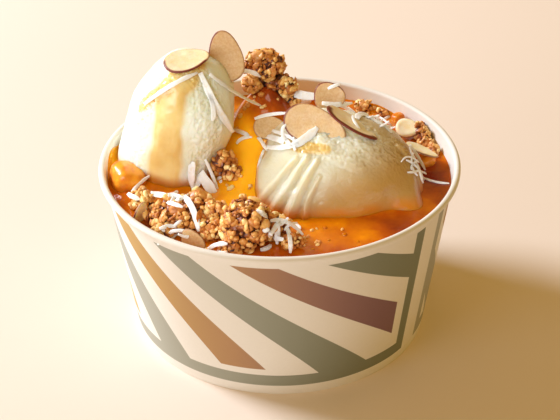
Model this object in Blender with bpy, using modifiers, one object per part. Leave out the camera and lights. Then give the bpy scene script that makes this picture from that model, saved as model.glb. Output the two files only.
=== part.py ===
"""A short, wide paper cup of frozen yogurt with fruit sauce, granola and almond slices.

Metres, +Z up. The origin is the middle of the circle that the cup stands on, and the
cup is seen from -Y. Two scoops stand in the sauce, and everything that lies on or in
something else keeps GAP to it: the softer of the two is cut round the harder.
"""

import math
from functools import partial

import bmesh
import bpy
from mathutils import Matrix, Vector, noise

MM = 0.001
GAP = 0.3 * MM  # between two pieces that touch
SAME_POINT = 0.02 * MM

# The cup: a cone of paper with a rolled rim, its floor set up inside a foot ring.
RIM_RADIUS = 59.0 * MM
HEIGHT = 58.8 * MM
FOOT_RADIUS = 48.7 * MM
PAPER = 0.5 * MM
ROLL = 1.08 * MM  # radius of the rolled rim
ROLL_ANGLES = (178.0, -114.0)  # degrees, from inside the cup over the top to below
ROLL_STEPS = 8
FOOT_WIDTH = 1.5 * MM  # the wall turned in under the floor
FLOOR_UNDERSIDE = 5.0 * MM
FLOOR_THICKNESS = 0.7 * MM
CUP_STEPS = 64

FLOOR_TOP = FLOOR_UNDERSIDE + FLOOR_THICKNESS
WALL_TOP_RADIUS = RIM_RADIUS - 1.7 * ROLL  # outer face, where it meets the roll
WALL_TOP = HEIGHT - 1.75 * ROLL
SLOPE = (WALL_TOP_RADIUS - FOOT_RADIUS) / WALL_TOP

# The sauce fills the cup to this level, with soft swells: (x, y, height, wide, deep).
SAUCE_LEVEL = 52.4 * MM
SWELLS = (
    (-4.2, 20.8, 21.0, 14.0, 14.2),  # the heap at the back, under the granola
    (-10.0, -3.0, 5.5, 9.0, 13.0),  # the valley between the scoops
    (-46.0, -12.0, 2.3, 9.0, 14.0),  # against the wall, on the left
    (-25.0, -32.0, 2.4, 16.0, 12.0),  # under the granola at the front
)
SAUCE_RINGS = 12
SAUCE_STEPS = 58

# Scoops: middle, half sizes, tilt in degrees, how square, and the depth of their swirl.
SCOOPS = {
    "scoop_left": ((-33.9, 9.6, 64.3), (17.0, 18.2, 29.2), (0.0, 19.0, 0.0), 2.3, 0.35),
    "scoop_right": ((18.6, -3.0, 54.6), (27.6, 21.3, 20.6), (0.0, 9.0, -2.0), 2.15, 0.3),
}

# Clumps of granola: middle, half sizes, fineness of the sphere they start from, seed.
CLUMPS = {
    "granola_peak": ((-5.2, 25.4, 80.7), (8.0, 6.0, 5.4), 3, 3.1),
    "granola_back": ((-1.0, 25.6, 72.4), (7.0, 6.2, 5.0), 2, 7.4),
    "granola_middle": ((-18.8, -2.2, 58.6), (4.6, 4.5, 4.6), 2, 1.7),
    "granola_front": ((-10.2, -39.6, 59.2), (9.0, 9.0, 8.8), 3, 5.2),
    "granola_left": ((-31.0, -30.6, 56.4), (12.6, 9.6, 5.2), 3, 9.9),
}
CLUMP_UNEVEN = 0.16  # part of the radius

# Pieces of soft fruit: middle, half sizes, tilt in degrees.
FRUIT = {
    "fruit_piece_left": ((-49.4, -6.2, 55.4), (5.4, 6.2, 4.6), (0.0, 14.0, 20.0)),
    "fruit_piece_right": ((48.4, 7.6, 53.4), (3.2, 3.0, 2.2), (8.0, -6.0, 30.0)),
}

# Almond slices: middle, length, width, the way the long side runs, the way a face looks.
ALMOND_THICKNESS = 1.0 * MM
ALMONDS = (
    ((-29.3, 4.9, 92.6), 15.4, 10.8, (1.0, 0.14, 0.16), (-0.1, -0.24, 0.97)),
    ((-17.2, 12.2, 90.2), 17.5, 11.2, (-0.2, 0.46, 0.86), (0.1, -0.86, 0.48)),
    ((11.5, -8.6, 75.3), 21.0, 12.4, (0.9, -0.3, -0.25), (-0.15, -0.66, 0.74)),
    ((23.8, -1.0, 74.4), 19.5, 10.5, (0.8, -0.35, -0.42), (0.5, 0.05, 0.86)),
    ((16.6, 10.2, 76.0), 10.5, 10.0, (1.0, 0.1, 0.1), (-0.1, -0.86, 0.5)),
    ((-3.4, 9.2, 65.6), 10.5, 8.0, (1.0, 0.2, 0.06), (0.16, -0.7, 0.7)),
    ((43.8, 25.0, 55.4), 12.0, 9.5, (1.0, -0.25, 0.0), (-0.1, -0.6, 0.8)),
    ((47.2, 9.4, 57.1), 13.0, 6.5, (0.75, -0.6, -0.1), (0.3, 0.1, 0.94)),
    ((-43.6, -28.0, 56.8), 11.5, 7.0, (0.2, 0.1, 0.97), (0.75, -0.62, -0.1)),
    ((-26.4, -42.6, 56.0), 11.0, 8.5, (-0.45, 0.3, 0.84), (-0.3, -0.85, 0.4)),
)
ALMOND_STEPS = 22

# Each: red, green, blue, roughness. Nothing here is metal.
COLOURS = {
    "paper": (0.88, 0.83, 0.74, 0.45),
    "yogurt": (0.90, 0.86, 0.74, 0.40),
    "sauce": (0.78, 0.36, 0.04, 0.15),
    "granola": (0.56, 0.31, 0.12, 0.75),
    "fruit": (0.86, 0.42, 0.05, 0.25),
    "almond": (0.82, 0.62, 0.38, 0.55),
}


def clear_scene():
    for thing in list(bpy.data.objects):
        bpy.data.objects.remove(thing, do_unlink=True)


def material(name):
    """The Principled material of one kind of food or paper."""
    found = bpy.data.materials.get(name)
    if found:
        return found
    red, green, blue, roughness = COLOURS[name]
    made = bpy.data.materials.new(name)
    made.use_nodes = True
    shader = made.node_tree.nodes["Principled BSDF"]
    shader.inputs["Base Color"].default_value = (red, green, blue, 1.0)
    shader.inputs["Roughness"].default_value = roughness
    shader.inputs["Metallic"].default_value = 0.0
    return made


def add_object(name, mesh, finish, collection, parent=None):
    """An object of this mesh, smooth except at its sharp edges."""
    mesh.materials.append(material(finish))
    mesh.shade_smooth()
    mesh.set_sharp_from_angle(angle=math.radians(40))
    made = bpy.data.objects.new(name, mesh)
    collection.objects.link(made)
    made.parent = parent
    return made


def add_cutter(name, mesh, cutters):
    """A hidden helper that only cuts other pieces."""
    made = bpy.data.objects.new(name, mesh)
    cutters.objects.link(made)
    made.hide_render = True
    made.display_type = "WIRE"
    return made


def cut(piece, cutter):
    step = piece.modifiers.new("clear_" + cutter.name, "BOOLEAN")
    step.operation = "DIFFERENCE"
    step.solver = "EXACT"
    step.object = cutter


def mesh_from(bm, name):
    mesh = bpy.data.meshes.new(name)
    bm.to_mesh(mesh)
    bm.free()
    return mesh


def inner_radius(height):
    """Radius of the cup's inner face at this height."""
    return FOOT_RADIUS + SLOPE * min(height, WALL_TOP) - PAPER


def inside_cup(point, clear):
    """The point, moved in where it would come nearer to the paper than clear."""
    point = point.copy()
    point.z = max(point.z, FLOOR_TOP + clear)
    if point.z < HEIGHT + 2 * MM:
        most = inner_radius(point.z) - clear
        away = math.hypot(point.x, point.y)
        if away > most:
            point.x *= most / away
            point.y *= most / away
    return point


def place(middle, tilt=(0.0, 0.0, 0.0)):
    """A matrix from a place in millimetres and a tilt in degrees."""
    turns = [Matrix.Rotation(math.radians(t), 4, axis) for t, axis in zip(tilt, "XYZ")]
    return Matrix.Translation(Vector(middle) * MM) @ turns[2] @ turns[1] @ turns[0]


def facing(middle, along, face):
    """A matrix with its X along the one way and its Z close to the other."""
    x = Vector(along).normalized()
    y = Vector(face).cross(x).normalized()
    turn = Matrix((x, y, x.cross(y))).transposed().to_4x4()
    return Matrix.Translation(Vector(middle) * MM) @ turn


def press_into_cup(bm, matrix, grow):
    """Flattens a piece where it would reach the paper; a grown cutter is left whole."""
    if grow:
        return
    back = matrix.inverted()
    for vertex in bm.verts:
        vertex.co = back @ inside_cup(matrix @ vertex.co, 2 * GAP)


def cup_profile():
    """Half section of the cup: up the inside, over the roll, down the outside."""
    roll_x = RIM_RADIUS - ROLL
    roll_z = HEIGHT - ROLL
    points = [
        (0.0, FLOOR_TOP),
        (inner_radius(FLOOR_TOP), FLOOR_TOP),
        (inner_radius(WALL_TOP), WALL_TOP),
    ]
    start, end = ROLL_ANGLES
    for step in range(ROLL_STEPS + 1):
        angle = math.radians(start + (end - start) * step / ROLL_STEPS)
        points.append((roll_x + ROLL * math.cos(angle), roll_z + ROLL * math.sin(angle)))
    points += [
        (FOOT_RADIUS + SLOPE * (WALL_TOP - ROLL), WALL_TOP - ROLL),
        (FOOT_RADIUS, 0.0),
        (FOOT_RADIUS - FOOT_WIDTH, 0.0),
        (FOOT_RADIUS - FOOT_WIDTH, FLOOR_UNDERSIDE),
        (0.0, FLOOR_UNDERSIDE),
    ]
    return points


def profile_mesh(name, points):
    """An open line of edges through the points of a half section."""
    bm = bmesh.new()
    row = [bm.verts.new((x, 0.0, z)) for x, z in points]
    for pair in zip(row, row[1:]):
        bm.edges.new(pair)
    return mesh_from(bm, name)


def turn(piece, steps):
    """Turns a half section all the way round the Z axis."""
    screw = piece.modifiers.new("turn", "SCREW")
    screw.angle = math.tau
    screw.steps = steps
    screw.render_steps = steps
    screw.use_merge_vertices = True
    screw.merge_threshold = 0.00001


def sauce_height(x, y):
    """Height of the sauce's surface over a point, in metres."""
    height = SAUCE_LEVEL
    for at_x, at_y, rise, wide, deep in SWELLS:
        across = (x / MM - at_x) / wide
        along = (y / MM - at_y) / deep
        height += rise * MM * math.exp(-(across**2) - along**2)
    return height


def sauce_mesh(name, clear):
    """The filling, from the cup's floor to its swelling surface."""
    bm = bmesh.new()
    bottom = FLOOR_TOP + clear
    rim = inner_radius(SAUCE_LEVEL) - clear
    profile = []
    for ring in range(SAUCE_RINGS + 1):
        outward = math.sin(0.5 * math.pi * (ring / SAUCE_RINGS) ** 0.9)
        profile.append((rim * outward, SAUCE_LEVEL))
    profile += [(inner_radius(bottom) - clear, bottom), (0.0, bottom)]
    row = [bm.verts.new((x, 0.0, z)) for x, z in profile]
    edges = [bm.edges.new(pair) for pair in zip(row, row[1:])]
    bmesh.ops.spin(bm, geom=row + edges, axis=(0, 0, 1), cent=(0, 0, 0),
                   angle=math.tau, steps=SAUCE_STEPS, use_merge=True)
    bmesh.ops.remove_doubles(bm, verts=bm.verts, dist=SAME_POINT)
    for vertex in bm.verts:
        if vertex.co.z > SAUCE_LEVEL - SAME_POINT:
            vertex.co.z = sauce_height(vertex.co.x, vertex.co.y)
            away = math.hypot(vertex.co.x, vertex.co.y)
            if away > rim - SAME_POINT:
                scale = (inner_radius(vertex.co.z) - clear) / away
                vertex.co.x *= scale
                vertex.co.y *= scale
    bmesh.ops.recalc_face_normals(bm, faces=bm.faces)
    return mesh_from(bm, name)


def scoop_mesh(size, square, swirl, matrix, name, grow):
    """An egg of yogurt with soft ridges winding round it, as the scoop leaves them."""
    bm = bmesh.new()
    bmesh.ops.create_uvsphere(bm, u_segments=32, v_segments=17, radius=1.0)
    half = [side * MM + grow for side in size]
    for vertex in bm.verts:
        away = sum(abs(c) ** square for c in vertex.co) ** (1 / square)
        x, y, z = vertex.co / away
        ridge = swirl * MM * math.sin(9 * z + 2.0 * math.atan2(y, x)) * (1 - z * z)
        lump = 0.5 * MM * noise.noise(Vector((x, y, z)) * 2.2 + Vector(size))
        more = 1 + (ridge + lump) / half[0]
        vertex.co = Vector((x * half[0], y * half[1], z * half[2])) * more
    press_into_cup(bm, matrix, grow)
    return mesh_from(bm, name)


def clump_mesh(size, fineness, seed, matrix, name, grow):
    """A clump of granola out to its uneven outline."""
    bm = bmesh.new()
    bmesh.ops.create_icosphere(bm, subdivisions=fineness, radius=1.0)
    for vertex in bm.verts:
        way = vertex.co.copy()
        coarse = noise.noise(way * 1.9 + Vector((seed, 0.0, 0.0)))
        fine = noise.noise(way * 4.1 + Vector((0.0, seed, 0.0)))
        more = 1 + CLUMP_UNEVEN * (coarse + 0.6 * fine)
        vertex.co = Vector([c * (side * MM * more + grow) for c, side in zip(way, size)])
    press_into_cup(bm, matrix, grow)
    return mesh_from(bm, name)


def fruit_mesh(size, matrix, name, grow):
    """A soft block of fruit with rounded corners."""
    bm = bmesh.new()
    bmesh.ops.create_icosphere(bm, subdivisions=2, radius=1.0)
    for vertex in bm.verts:
        away = sum(abs(c) ** 3 for c in vertex.co) ** (1 / 3)
        way = vertex.co / away
        vertex.co = Vector([c * (side * MM + grow) for c, side in zip(way, size)])
    press_into_cup(bm, matrix, grow)
    return mesh_from(bm, name)


def almond_mesh(length, width, name, grow):
    """A thin slice across an almond: a drop outline, pointed at +X."""
    bm = bmesh.new()
    bmesh.ops.create_cone(bm, cap_ends=True, segments=ALMOND_STEPS, radius1=1.0,
                          radius2=1.0, depth=ALMOND_THICKNESS + 2 * grow)
    for vertex in bm.verts:
        x, y = vertex.co.x, vertex.co.y
        vertex.co.x = x * (length * MM / 2 + grow)
        vertex.co.y = y * (1 - 0.24 * x) * (width * MM / 2 + grow)
    return mesh_from(bm, name)


def makers():
    """Every piece of food that lies in the sauce, hardest first.

    Each is its name, its finish, its matrix, and a function that makes its mesh from
    a name and the amount by which it is grown all round.
    """
    found = []
    for number, (middle, length, width, along, face) in enumerate(ALMONDS, start=1):
        make = partial(almond_mesh, length, width)
        name = f"almond_slice_{number:02d}"
        found.append((name, "almond", facing(middle, along, face), make))
    for name, (middle, size, tilt, square, swirl) in SCOOPS.items():
        matrix = place(middle, tilt)
        found.append((name, "yogurt", matrix, partial(scoop_mesh, size, square, swirl, matrix)))
    for name, (middle, size, tilt) in FRUIT.items():
        matrix = place(middle, tilt)
        found.append((name, "fruit", matrix, partial(fruit_mesh, size, matrix)))
    for name, (middle, size, fineness, seed) in CLUMPS.items():
        matrix = place(middle)
        found.append((name, "granola", matrix, partial(clump_mesh, size, fineness, seed, matrix)))
    return found


def boxes_meet(first, second):
    """Whether the boxes round two objects' meshes overlap, in world space."""
    ranges = []
    for thing in (first, second):
        corners = [thing.matrix_world @ Vector(corner) for corner in thing.bound_box]
        ranges.append([(min(c[i] for c in corners), max(c[i] for c in corners)) for i in range(3)])
    return all(a[0] < b[1] and b[0] < a[1] for a, b in zip(*ranges))


def main():
    clear_scene()
    parts = bpy.data.collections.new("frozen_yogurt_cup")
    cutters = bpy.data.collections.new("cutters")
    for collection in (parts, cutters):
        bpy.context.scene.collection.children.link(collection)
    root = bpy.data.objects.new("frozen_yogurt_cup_origin", None)
    parts.objects.link(root)

    cup = add_object("paper_cup", profile_mesh("paper_cup", cup_profile()), "paper", parts, root)
    turn(cup, CUP_STEPS)

    sauce = add_object("fruit_sauce", sauce_mesh("fruit_sauce", GAP), "sauce", parts, root)
    done = []
    for name, finish, matrix, make in makers():
        space = name + "_space"
        piece = add_object(name, make(name, 0.0), finish, parts, root)
        cutter = add_cutter(space, make(space, GAP), cutters)
        piece.matrix_world = matrix
        cutter.matrix_world = matrix
        bpy.context.view_layer.update()
        for harder in done:
            if boxes_meet(piece, harder):
                cut(piece, harder)
        if boxes_meet(sauce, cutter):
            cut(sauce, cutter)
        done.append(cutter)


main()
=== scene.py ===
"""Looks of the frozen yogurt cup: printed paper cup, two scoops in fruit sauce, and toppings.

Metres, +Z up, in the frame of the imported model, seen from -Y. Places and sizes of toppings
are written in millimetres and multiplied by MM where a mesh is made.
"""

import itertools
import logging
import math
from dataclasses import dataclass, field, replace
from enum import Enum
from functools import cache
from typing import Callable, Optional, Sequence, Union

import bmesh
import bpy
import numpy as np
from mathutils import Matrix, Vector
from mathutils.bvhtree import BVHTree


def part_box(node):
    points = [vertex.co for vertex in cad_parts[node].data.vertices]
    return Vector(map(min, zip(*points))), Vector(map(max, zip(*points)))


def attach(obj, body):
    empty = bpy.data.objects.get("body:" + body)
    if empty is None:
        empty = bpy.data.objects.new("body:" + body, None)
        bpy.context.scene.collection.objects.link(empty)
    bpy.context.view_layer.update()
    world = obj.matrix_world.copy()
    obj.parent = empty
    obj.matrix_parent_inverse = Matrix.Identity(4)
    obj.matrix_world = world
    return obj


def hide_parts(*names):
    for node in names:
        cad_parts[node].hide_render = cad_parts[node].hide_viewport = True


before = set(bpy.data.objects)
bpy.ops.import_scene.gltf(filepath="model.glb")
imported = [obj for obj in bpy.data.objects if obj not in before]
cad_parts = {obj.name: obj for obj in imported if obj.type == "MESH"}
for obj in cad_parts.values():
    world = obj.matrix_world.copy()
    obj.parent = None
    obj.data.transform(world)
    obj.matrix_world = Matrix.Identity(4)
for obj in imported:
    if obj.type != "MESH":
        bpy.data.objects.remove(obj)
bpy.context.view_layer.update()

logging.basicConfig(level=logging.INFO, format="%(message)s")
log = logging.getLogger("frozen_yogurt_cup")

Array = np.ndarray
Colour = tuple[float, float, float]
Point = tuple[float, float, float]

MM = 0.001
BODY = "root"
SEED = 20

_, CUP_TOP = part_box("paper_cup")
RIM_RADIUS = CUP_TOP.x
HEIGHT = CUP_TOP.z
FOOT_RADIUS = 48.7 * MM
PAPER = 0.5 * MM  # how thick the wall is
ROLL = 1.08 * MM  # radius of the rim's roll
FLOOR_UNDERSIDE = 5.0 * MM
FLOOR_TOP = 5.7 * MM
WALL_TOP = HEIGHT - 1.75 * ROLL
WALL_TOP_RADIUS = RIM_RADIUS - 1.7 * ROLL
SLOPE = (WALL_TOP_RADIUS - FOOT_RADIUS) / WALL_TOP
SAUCE_LEVEL = 52.4  # in millimetres
WELD = 0.001 * MM  # points nearer than this are one
CREASE = math.radians(60)  # edges that bend more than this stay sharp
HASH_PRIMES = np.array((73856093, 19349663, 83492791))
HASH_MIXER = 1274126177


def tint(red: int, green: int, blue: int) -> Colour:
    """A linear colour from the usual 0 to 255 screen values.

    Args:
        red: from 0 to 255.
        green: from 0 to 255.
        blue: from 0 to 255.

    Returns:
        The colour.
    """
    found = []
    for part in (red / 255, green / 255, blue / 255):
        found.append(part / 12.92 if part <= 0.04045 else ((part + 0.055) / 1.055) ** 2.4)
    return tuple(found)


# ---------------------------------------------------------------- shapes as arrays


def carried(points: Array, matrix: Matrix) -> Array:
    """Points moved by a matrix."""
    turn = np.array(matrix)
    return points @ turn[:3, :3].T + turn[:3, 3]


def placing(middle: Point, tilt: Point) -> Matrix:
    """The matrix that turns a shape about x, y and z, then moves it.

    Args:
        middle: where it goes, in millimetres.
        tilt: the turns, in degrees.

    Returns:
        The matrix.
    """
    turns = [Matrix.Rotation(math.radians(turn), 4, axis) for turn, axis in zip(tilt, "XYZ")]
    return Matrix.Translation(Vector(middle) * MM) @ turns[2] @ turns[1] @ turns[0]


def unit(ways: Array) -> Array:
    """Vectors with a length of 1."""
    return ways / np.linalg.norm(ways, axis=1, keepdims=True)


def from_middle(ways: Array, power: float) -> Array:
    """How far places are from a middle, where a power over 2 makes a ball more like a box."""
    return (np.abs(ways) ** power).sum(1, keepdims=True) ** (1 / power)


def spun(rows: Sequence[tuple[float, float]], count: int) -> tuple[Array, Array]:
    """The two columns of a half section, each repeated for every step round."""
    table = np.array(rows)
    return np.repeat(table[:, :1], count, axis=1), np.repeat(table[:, 1:], count, axis=1)


@dataclass
class Shape:
    """The points and faces of a mesh in the making, and named values on its points."""

    points: Array
    faces: Array
    values: dict[str, Array] = field(default_factory=dict)

    def moved(self, matrix: Matrix) -> "Shape":
        """The same shape, turned and moved by a matrix."""
        return Shape(carried(self.points, matrix), self.faces, self.values)

    @staticmethod
    def joined(shapes: Sequence["Shape"]) -> "Shape":
        """One shape from several whose faces have as many corners.

        Args:
            shapes: the shapes, each with the same named values.

        Returns:
            All of them as one shape.
        """
        starts = np.cumsum([0] + [len(shape.points) for shape in shapes])
        faces = [shape.faces + start for shape, start in zip(shapes, starts)]
        values = {
            name: np.concatenate([shape.values[name] for shape in shapes])
            for name in shapes[0].values
        }
        return Shape(np.concatenate([s.points for s in shapes]), np.concatenate(faces), values)

    def tree(self) -> BVHTree:
        """A tree for rays to hit."""
        return BVHTree.FromPolygons(self.points.tolist(), self.faces.tolist())


def grid_faces(rows: int, columns: int, closed: bool = True) -> Array:
    """Quads between rows of points.

    Args:
        rows: how many rows there are.
        columns: how many points a row has.
        closed: whether a row's last point joins its first.

    Returns:
        The corners of each quad.
    """
    row, column = np.meshgrid(
        np.arange(rows - 1), np.arange(columns if closed else columns - 1), indexing="ij"
    )
    here = row * columns + column
    beside = row * columns + (column + 1) % columns
    return np.stack([here, beside, beside + columns, here + columns], -1).reshape(-1, 4)


def quad_sphere(steps: int) -> tuple[Array, Array]:
    """A sphere made from a cube, so that it has no poles.

    Args:
        steps: quads along each side of the cube.

    Returns:
        The unit vectors of its points, and its quads, which face out.
    """
    side = np.tan(np.linspace(-1, 1, steps + 1) * math.pi / 4)
    u, v = np.meshgrid(side, side, indexing="ij")
    flat = np.stack([u, v, np.ones_like(u)], -1).reshape(-1, 3)
    quads = grid_faces(steps + 1, steps + 1, closed=False)
    points, faces = [], []
    for axis, sign in itertools.product(range(3), (1, -1)):
        faces.append((quads[:, ::-1] if sign > 0 else quads) + len(points) * len(flat))
        points.append(np.roll(flat, axis, axis=1) * sign)
    ways = unit(np.concatenate(points))
    _, first, index = np.unique(np.round(ways, 6), axis=0, return_index=True, return_inverse=True)
    return ways[first], index.reshape(-1)[np.concatenate(faces)]


def rough(points: Array, size: float, seed: int = 0) -> Array:
    """Smooth random values from -1 to 1 over space.

    Args:
        points: places, in any unit.
        size: how far apart the values change, in the same unit.
        seed: another number gives another pattern.

    Returns:
        One value for each place.
    """
    scaled = points / size + seed * 13.7
    base = np.floor(scaled).astype(np.int64)
    part = scaled - base
    part = part * part * (3 - 2 * part)
    total = np.zeros(len(points))
    for corner in itertools.product((0, 1), repeat=3):
        mixed = np.bitwise_xor.reduce((base + np.array(corner)) * HASH_PRIMES, axis=1)
        mixed = ((mixed ^ (mixed >> 13)) * HASH_MIXER) & 0xFFFFFFFF
        mixed ^= mixed >> 15
        weight = np.prod(np.where(corner, part, 1 - part), axis=1)
        total += weight * ((mixed & 0xFFFF) / 32767.5 - 1)
    return total


def layers(points: Array, size: float, count: int, seed: int = 0) -> Array:
    """Random values with finer ones on top, each layer half as wide and half as strong."""
    return sum(rough(points, size / 2**i, seed + i) / 2**i for i in range(count))


def smooth(values: Array, low: float = 0.0, high: float = 1.0) -> Array:
    """An S-shaped step from 0 at low to 1 at high."""
    part = np.clip((values - low) / (high - low), 0, 1)
    return part * part * (3 - 2 * part)


@dataclass(frozen=True)
class Trail:
    """A line over a surface, in millimetres: a fold, or a run of sauce."""

    points: tuple[Point, ...]
    widths: tuple[float, ...]
    height: float = 1.0

    def near(self, places: Array) -> Array:
        """How near each place is, 1 at the trail's middle, 0 at its side and down to -1 beyond.

        Args:
            places: points in metres.

        Returns:
            One value for each.
        """
        found = np.full(len(places), -1.0)
        ends = [np.array(point) * MM for point in self.points]
        for a, b, wide, then in zip(ends, ends[1:], self.widths, self.widths[1:]):
            way = b - a
            along = np.clip((places - a) @ way / (way @ way), 0, 1)
            away = np.linalg.norm(places - a - along[:, None] * way, axis=1)
            found = np.maximum(found, 1 - away / ((wide + (then - wide) * along) * MM))
        return found


def inner_radius(height: Union[float, Array]) -> Union[float, Array]:
    """Radius of the cup's inner face at each height."""
    return FOOT_RADIUS + SLOPE * np.minimum(height, WALL_TOP) - PAPER


class Bed:
    """The food that further toppings are laid on."""

    def __init__(self) -> None:
        """Starts with nothing on it."""
        self.trees: list[BVHTree] = []

    def add(self, shape: Shape) -> None:
        """Makes a shape part of what toppings are laid on."""
        self.trees.append(shape.tree())

    def hit(self, start: Vector, way: Vector) -> Optional[tuple[Vector, Vector]]:
        """Where a ray first meets the food.

        Args:
            start: where the ray starts.
            way: where it goes.

        Returns:
            The place and the surface's normal there, or None.
        """
        found = [tree.ray_cast(start, way) for tree in self.trees]
        met = [hit for hit in found if hit[0] is not None]
        if not met:
            return None
        place, normal, _, _ = min(met, key=lambda hit: hit[3])
        return place, (-normal if normal.dot(way) > 0 else normal)

    def below(self, x: float, y: float) -> Optional[tuple[Vector, Vector]]:
        """The highest food at a place seen from above, in metres."""
        return self.hit(Vector((x, y, 3 * HEIGHT)), Vector((0, 0, -1)))


# ---------------------------------------------------------------- shader maths


class Value:
    """A number socket of a material that can be used in a Python expression."""

    def __init__(self, shade: "Shade", socket: bpy.types.NodeSocket) -> None:
        """Keeps the material in the making and the socket."""
        self.shade = shade
        self.socket = socket

    def _with(self, operation: str, *others: "Number", first: bool = True) -> "Value":
        """A Math node on this value and others."""
        terms = (self, *others) if first else (*others, self)
        return self.shade.maths(operation, *terms)

    def __add__(self, other: "Number") -> "Value":
        """The sum."""
        return self._with("ADD", other)

    __radd__ = __add__

    def __sub__(self, other: "Number") -> "Value":
        """The difference."""
        return self._with("SUBTRACT", other)

    def __rsub__(self, other: "Number") -> "Value":
        """The difference from a number."""
        return self._with("SUBTRACT", other, first=False)

    def __mul__(self, other: "Number") -> "Value":
        """The product."""
        return self._with("MULTIPLY", other)

    __rmul__ = __mul__

    def __truediv__(self, other: "Number") -> "Value":
        """The quotient."""
        return self._with("DIVIDE", other)

    def sharp(self, low: float, high: float) -> "Value":
        """A straight step from 0 at low to 1 at high, held to 0 and 1."""
        return self.shade.step(self, low, high, "LINEAR")

    def soft(self, low: float, high: float) -> "Value":
        """An S-shaped step from 0 at low to 1 at high."""
        return self.shade.step(self, low, high, "SMOOTHSTEP")


Number = Union[Value, float]
Paint = Union[bpy.types.NodeSocket, Colour]


class Shade:
    """A material in the making: its nodes, and the Principled shader that they feed."""

    def __init__(self, name: str) -> None:
        """Starts a material with only its shader and output.

        Args:
            name: the material's name.
        """
        self.material = bpy.data.materials.new(name)
        self.material.use_nodes = True
        self.tree = self.material.node_tree
        self.shader = self.tree.nodes["Principled BSDF"]
        self._place: Optional[bpy.types.NodeSocket] = None

    def node(
        self,
        kind: str,
        settings: Optional[dict[str, object]] = None,
        inputs: Optional[dict[Union[int, str], object]] = None,
    ) -> bpy.types.Node:
        """Adds a node.

        Args:
            kind: the node's type, such as ShaderNodeTexNoise.
            settings: what is set on the node first, such as its operation.
            inputs: the values or links of its sockets, by number or name.

        Returns:
            The node.
        """
        made = self.tree.nodes.new(kind)
        for name, value in (settings or {}).items():
            setattr(made, name, value)
        for name, value in (inputs or {}).items():
            self.feed(made.inputs[name], value)
        return made

    def feed(self, socket: bpy.types.NodeSocket, value: object) -> None:
        """Links a value or socket to a socket, or sets a plain number or colour on it.

        Args:
            socket: the socket that is fed.
            value: a value, a socket, or a plain number, vector or colour.
        """
        source = value.socket if isinstance(value, Value) else value
        if isinstance(source, bpy.types.NodeSocket):
            self.tree.links.new(source, socket)
        elif isinstance(source, tuple) and socket.type == "RGBA":
            socket.default_value = (*source, 1.0)
        else:
            socket.default_value = source

    def maths(self, operation: str, *terms: Number) -> Value:
        """A Math node on the terms."""
        made = self.node("ShaderNodeMath", {"operation": operation}, dict(enumerate(terms)))
        return Value(self, made.outputs[0])

    def step(self, value: Value, low: float, high: float, kind: str) -> Value:
        """A held step of a value from 0 at low to 1 at high.

        Args:
            value: what the step follows.
            low: where it starts.
            high: where it ends.
            kind: its form, LINEAR or SMOOTHSTEP.

        Returns:
            The step.
        """
        settings = {"interpolation_type": kind}
        made = self.node("ShaderNodeMapRange", settings, {0: value, 1: low, 2: high})
        return Value(self, made.outputs[0])

    def mix(self, amount: Number, first: Paint, second: Paint) -> bpy.types.NodeSocket:
        """Two colours blended, all first at 0 and all second at 1."""
        inputs = {0: amount, 6: first, 7: second}
        return self.node("ShaderNodeMix", {"data_type": "RGBA"}, inputs).outputs[2]

    def ramp(self, value: Value, stops: Sequence[tuple[float, Colour]]) -> bpy.types.NodeSocket:
        """A colour that runs through the stops as the value goes from 0 to 1.

        Args:
            value: what the colour follows.
            stops: places from 0 to 1, each with its colour.

        Returns:
            The colour's socket.
        """
        made = self.node("ShaderNodeValToRGB", None, {0: value})
        edge = made.color_ramp.elements
        edge.remove(edge[1])
        for index, (place, colour) in enumerate(stops):
            stop = edge[0] if index == 0 else edge.new(place)
            stop.position = place
            stop.color = (*colour, 1.0)
        return made.outputs[0]

    def place(self) -> bpy.types.NodeSocket:
        """The point's place on its own object, in metres.

        Returns:
            Its socket, the same one each time.
        """
        if self._place is None:
            self._place = self.node("ShaderNodeTexCoord").outputs["Object"]
        return self._place

    def axes(self) -> tuple[Value, Value, Value]:
        """The point's x, y and z in metres."""
        made = self.node("ShaderNodeSeparateXYZ", None, {0: self.place()})
        return tuple(Value(self, made.outputs[i]) for i in range(3))

    def noise(self, size: float, detail: float) -> Value:
        """Random values round 0.5.

        Args:
            size: width of a spot, in metres.
            detail: how many finer layers there are.

        Returns:
            The value.
        """
        inputs = {"Vector": self.place(), "Scale": 0.5 / size, "Detail": detail}
        return Value(self, self.node("ShaderNodeTexNoise", None, inputs).outputs[0])

    def painted(self, name: str) -> Value:
        """A value that the mesh carries on its points."""
        made = self.node("ShaderNodeAttribute", {"attribute_name": name})
        return Value(self, made.outputs["Fac"])

    def bump(self, height: Value, depth: float) -> None:
        """Makes fine relief from a value that goes from 0 to 1.

        Args:
            height: the value.
            depth: how high 1 stands over 0, in metres.
        """
        made = self.node("ShaderNodeBump", None, {"Height": height, "Distance": depth})
        self.feed(self.shader.inputs["Normal"], made.outputs[0])

    def finish(
        self,
        colour: Paint,
        roughness: Number,
        soft: float = 0.0,
        depth: float = 0.0,
        reach: Colour = (1.0, 0.5, 0.25),
        coat: float = 0.0,
        coat_roughness: float = 0.1,
        specular: float = 0.5,
    ) -> None:
        """Feeds the shader.

        Args:
            colour: the surface's colour.
            roughness: from 0, a mirror, to 1.
            soft: how much of the light goes under the surface.
            depth: how far it goes, in metres.
            reach: how far red, green and blue go, as parts of depth.
            coat: strength of a clear wet layer.
            coat_roughness: how rough that layer is.
            specular: how strongly the bare surface mirrors.
        """
        sockets = self.shader.inputs
        self.feed(sockets["Base Color"], colour)
        self.feed(sockets["Roughness"], roughness)
        sockets["Subsurface Weight"].default_value = soft
        sockets["Subsurface Scale"].default_value = depth
        sockets["Subsurface Radius"].default_value = reach
        sockets["Coat Weight"].default_value = coat
        sockets["Coat Roughness"].default_value = coat_roughness
        sockets["Specular IOR Level"].default_value = specular


# ---------------------------------------------------------------- finishes


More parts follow.
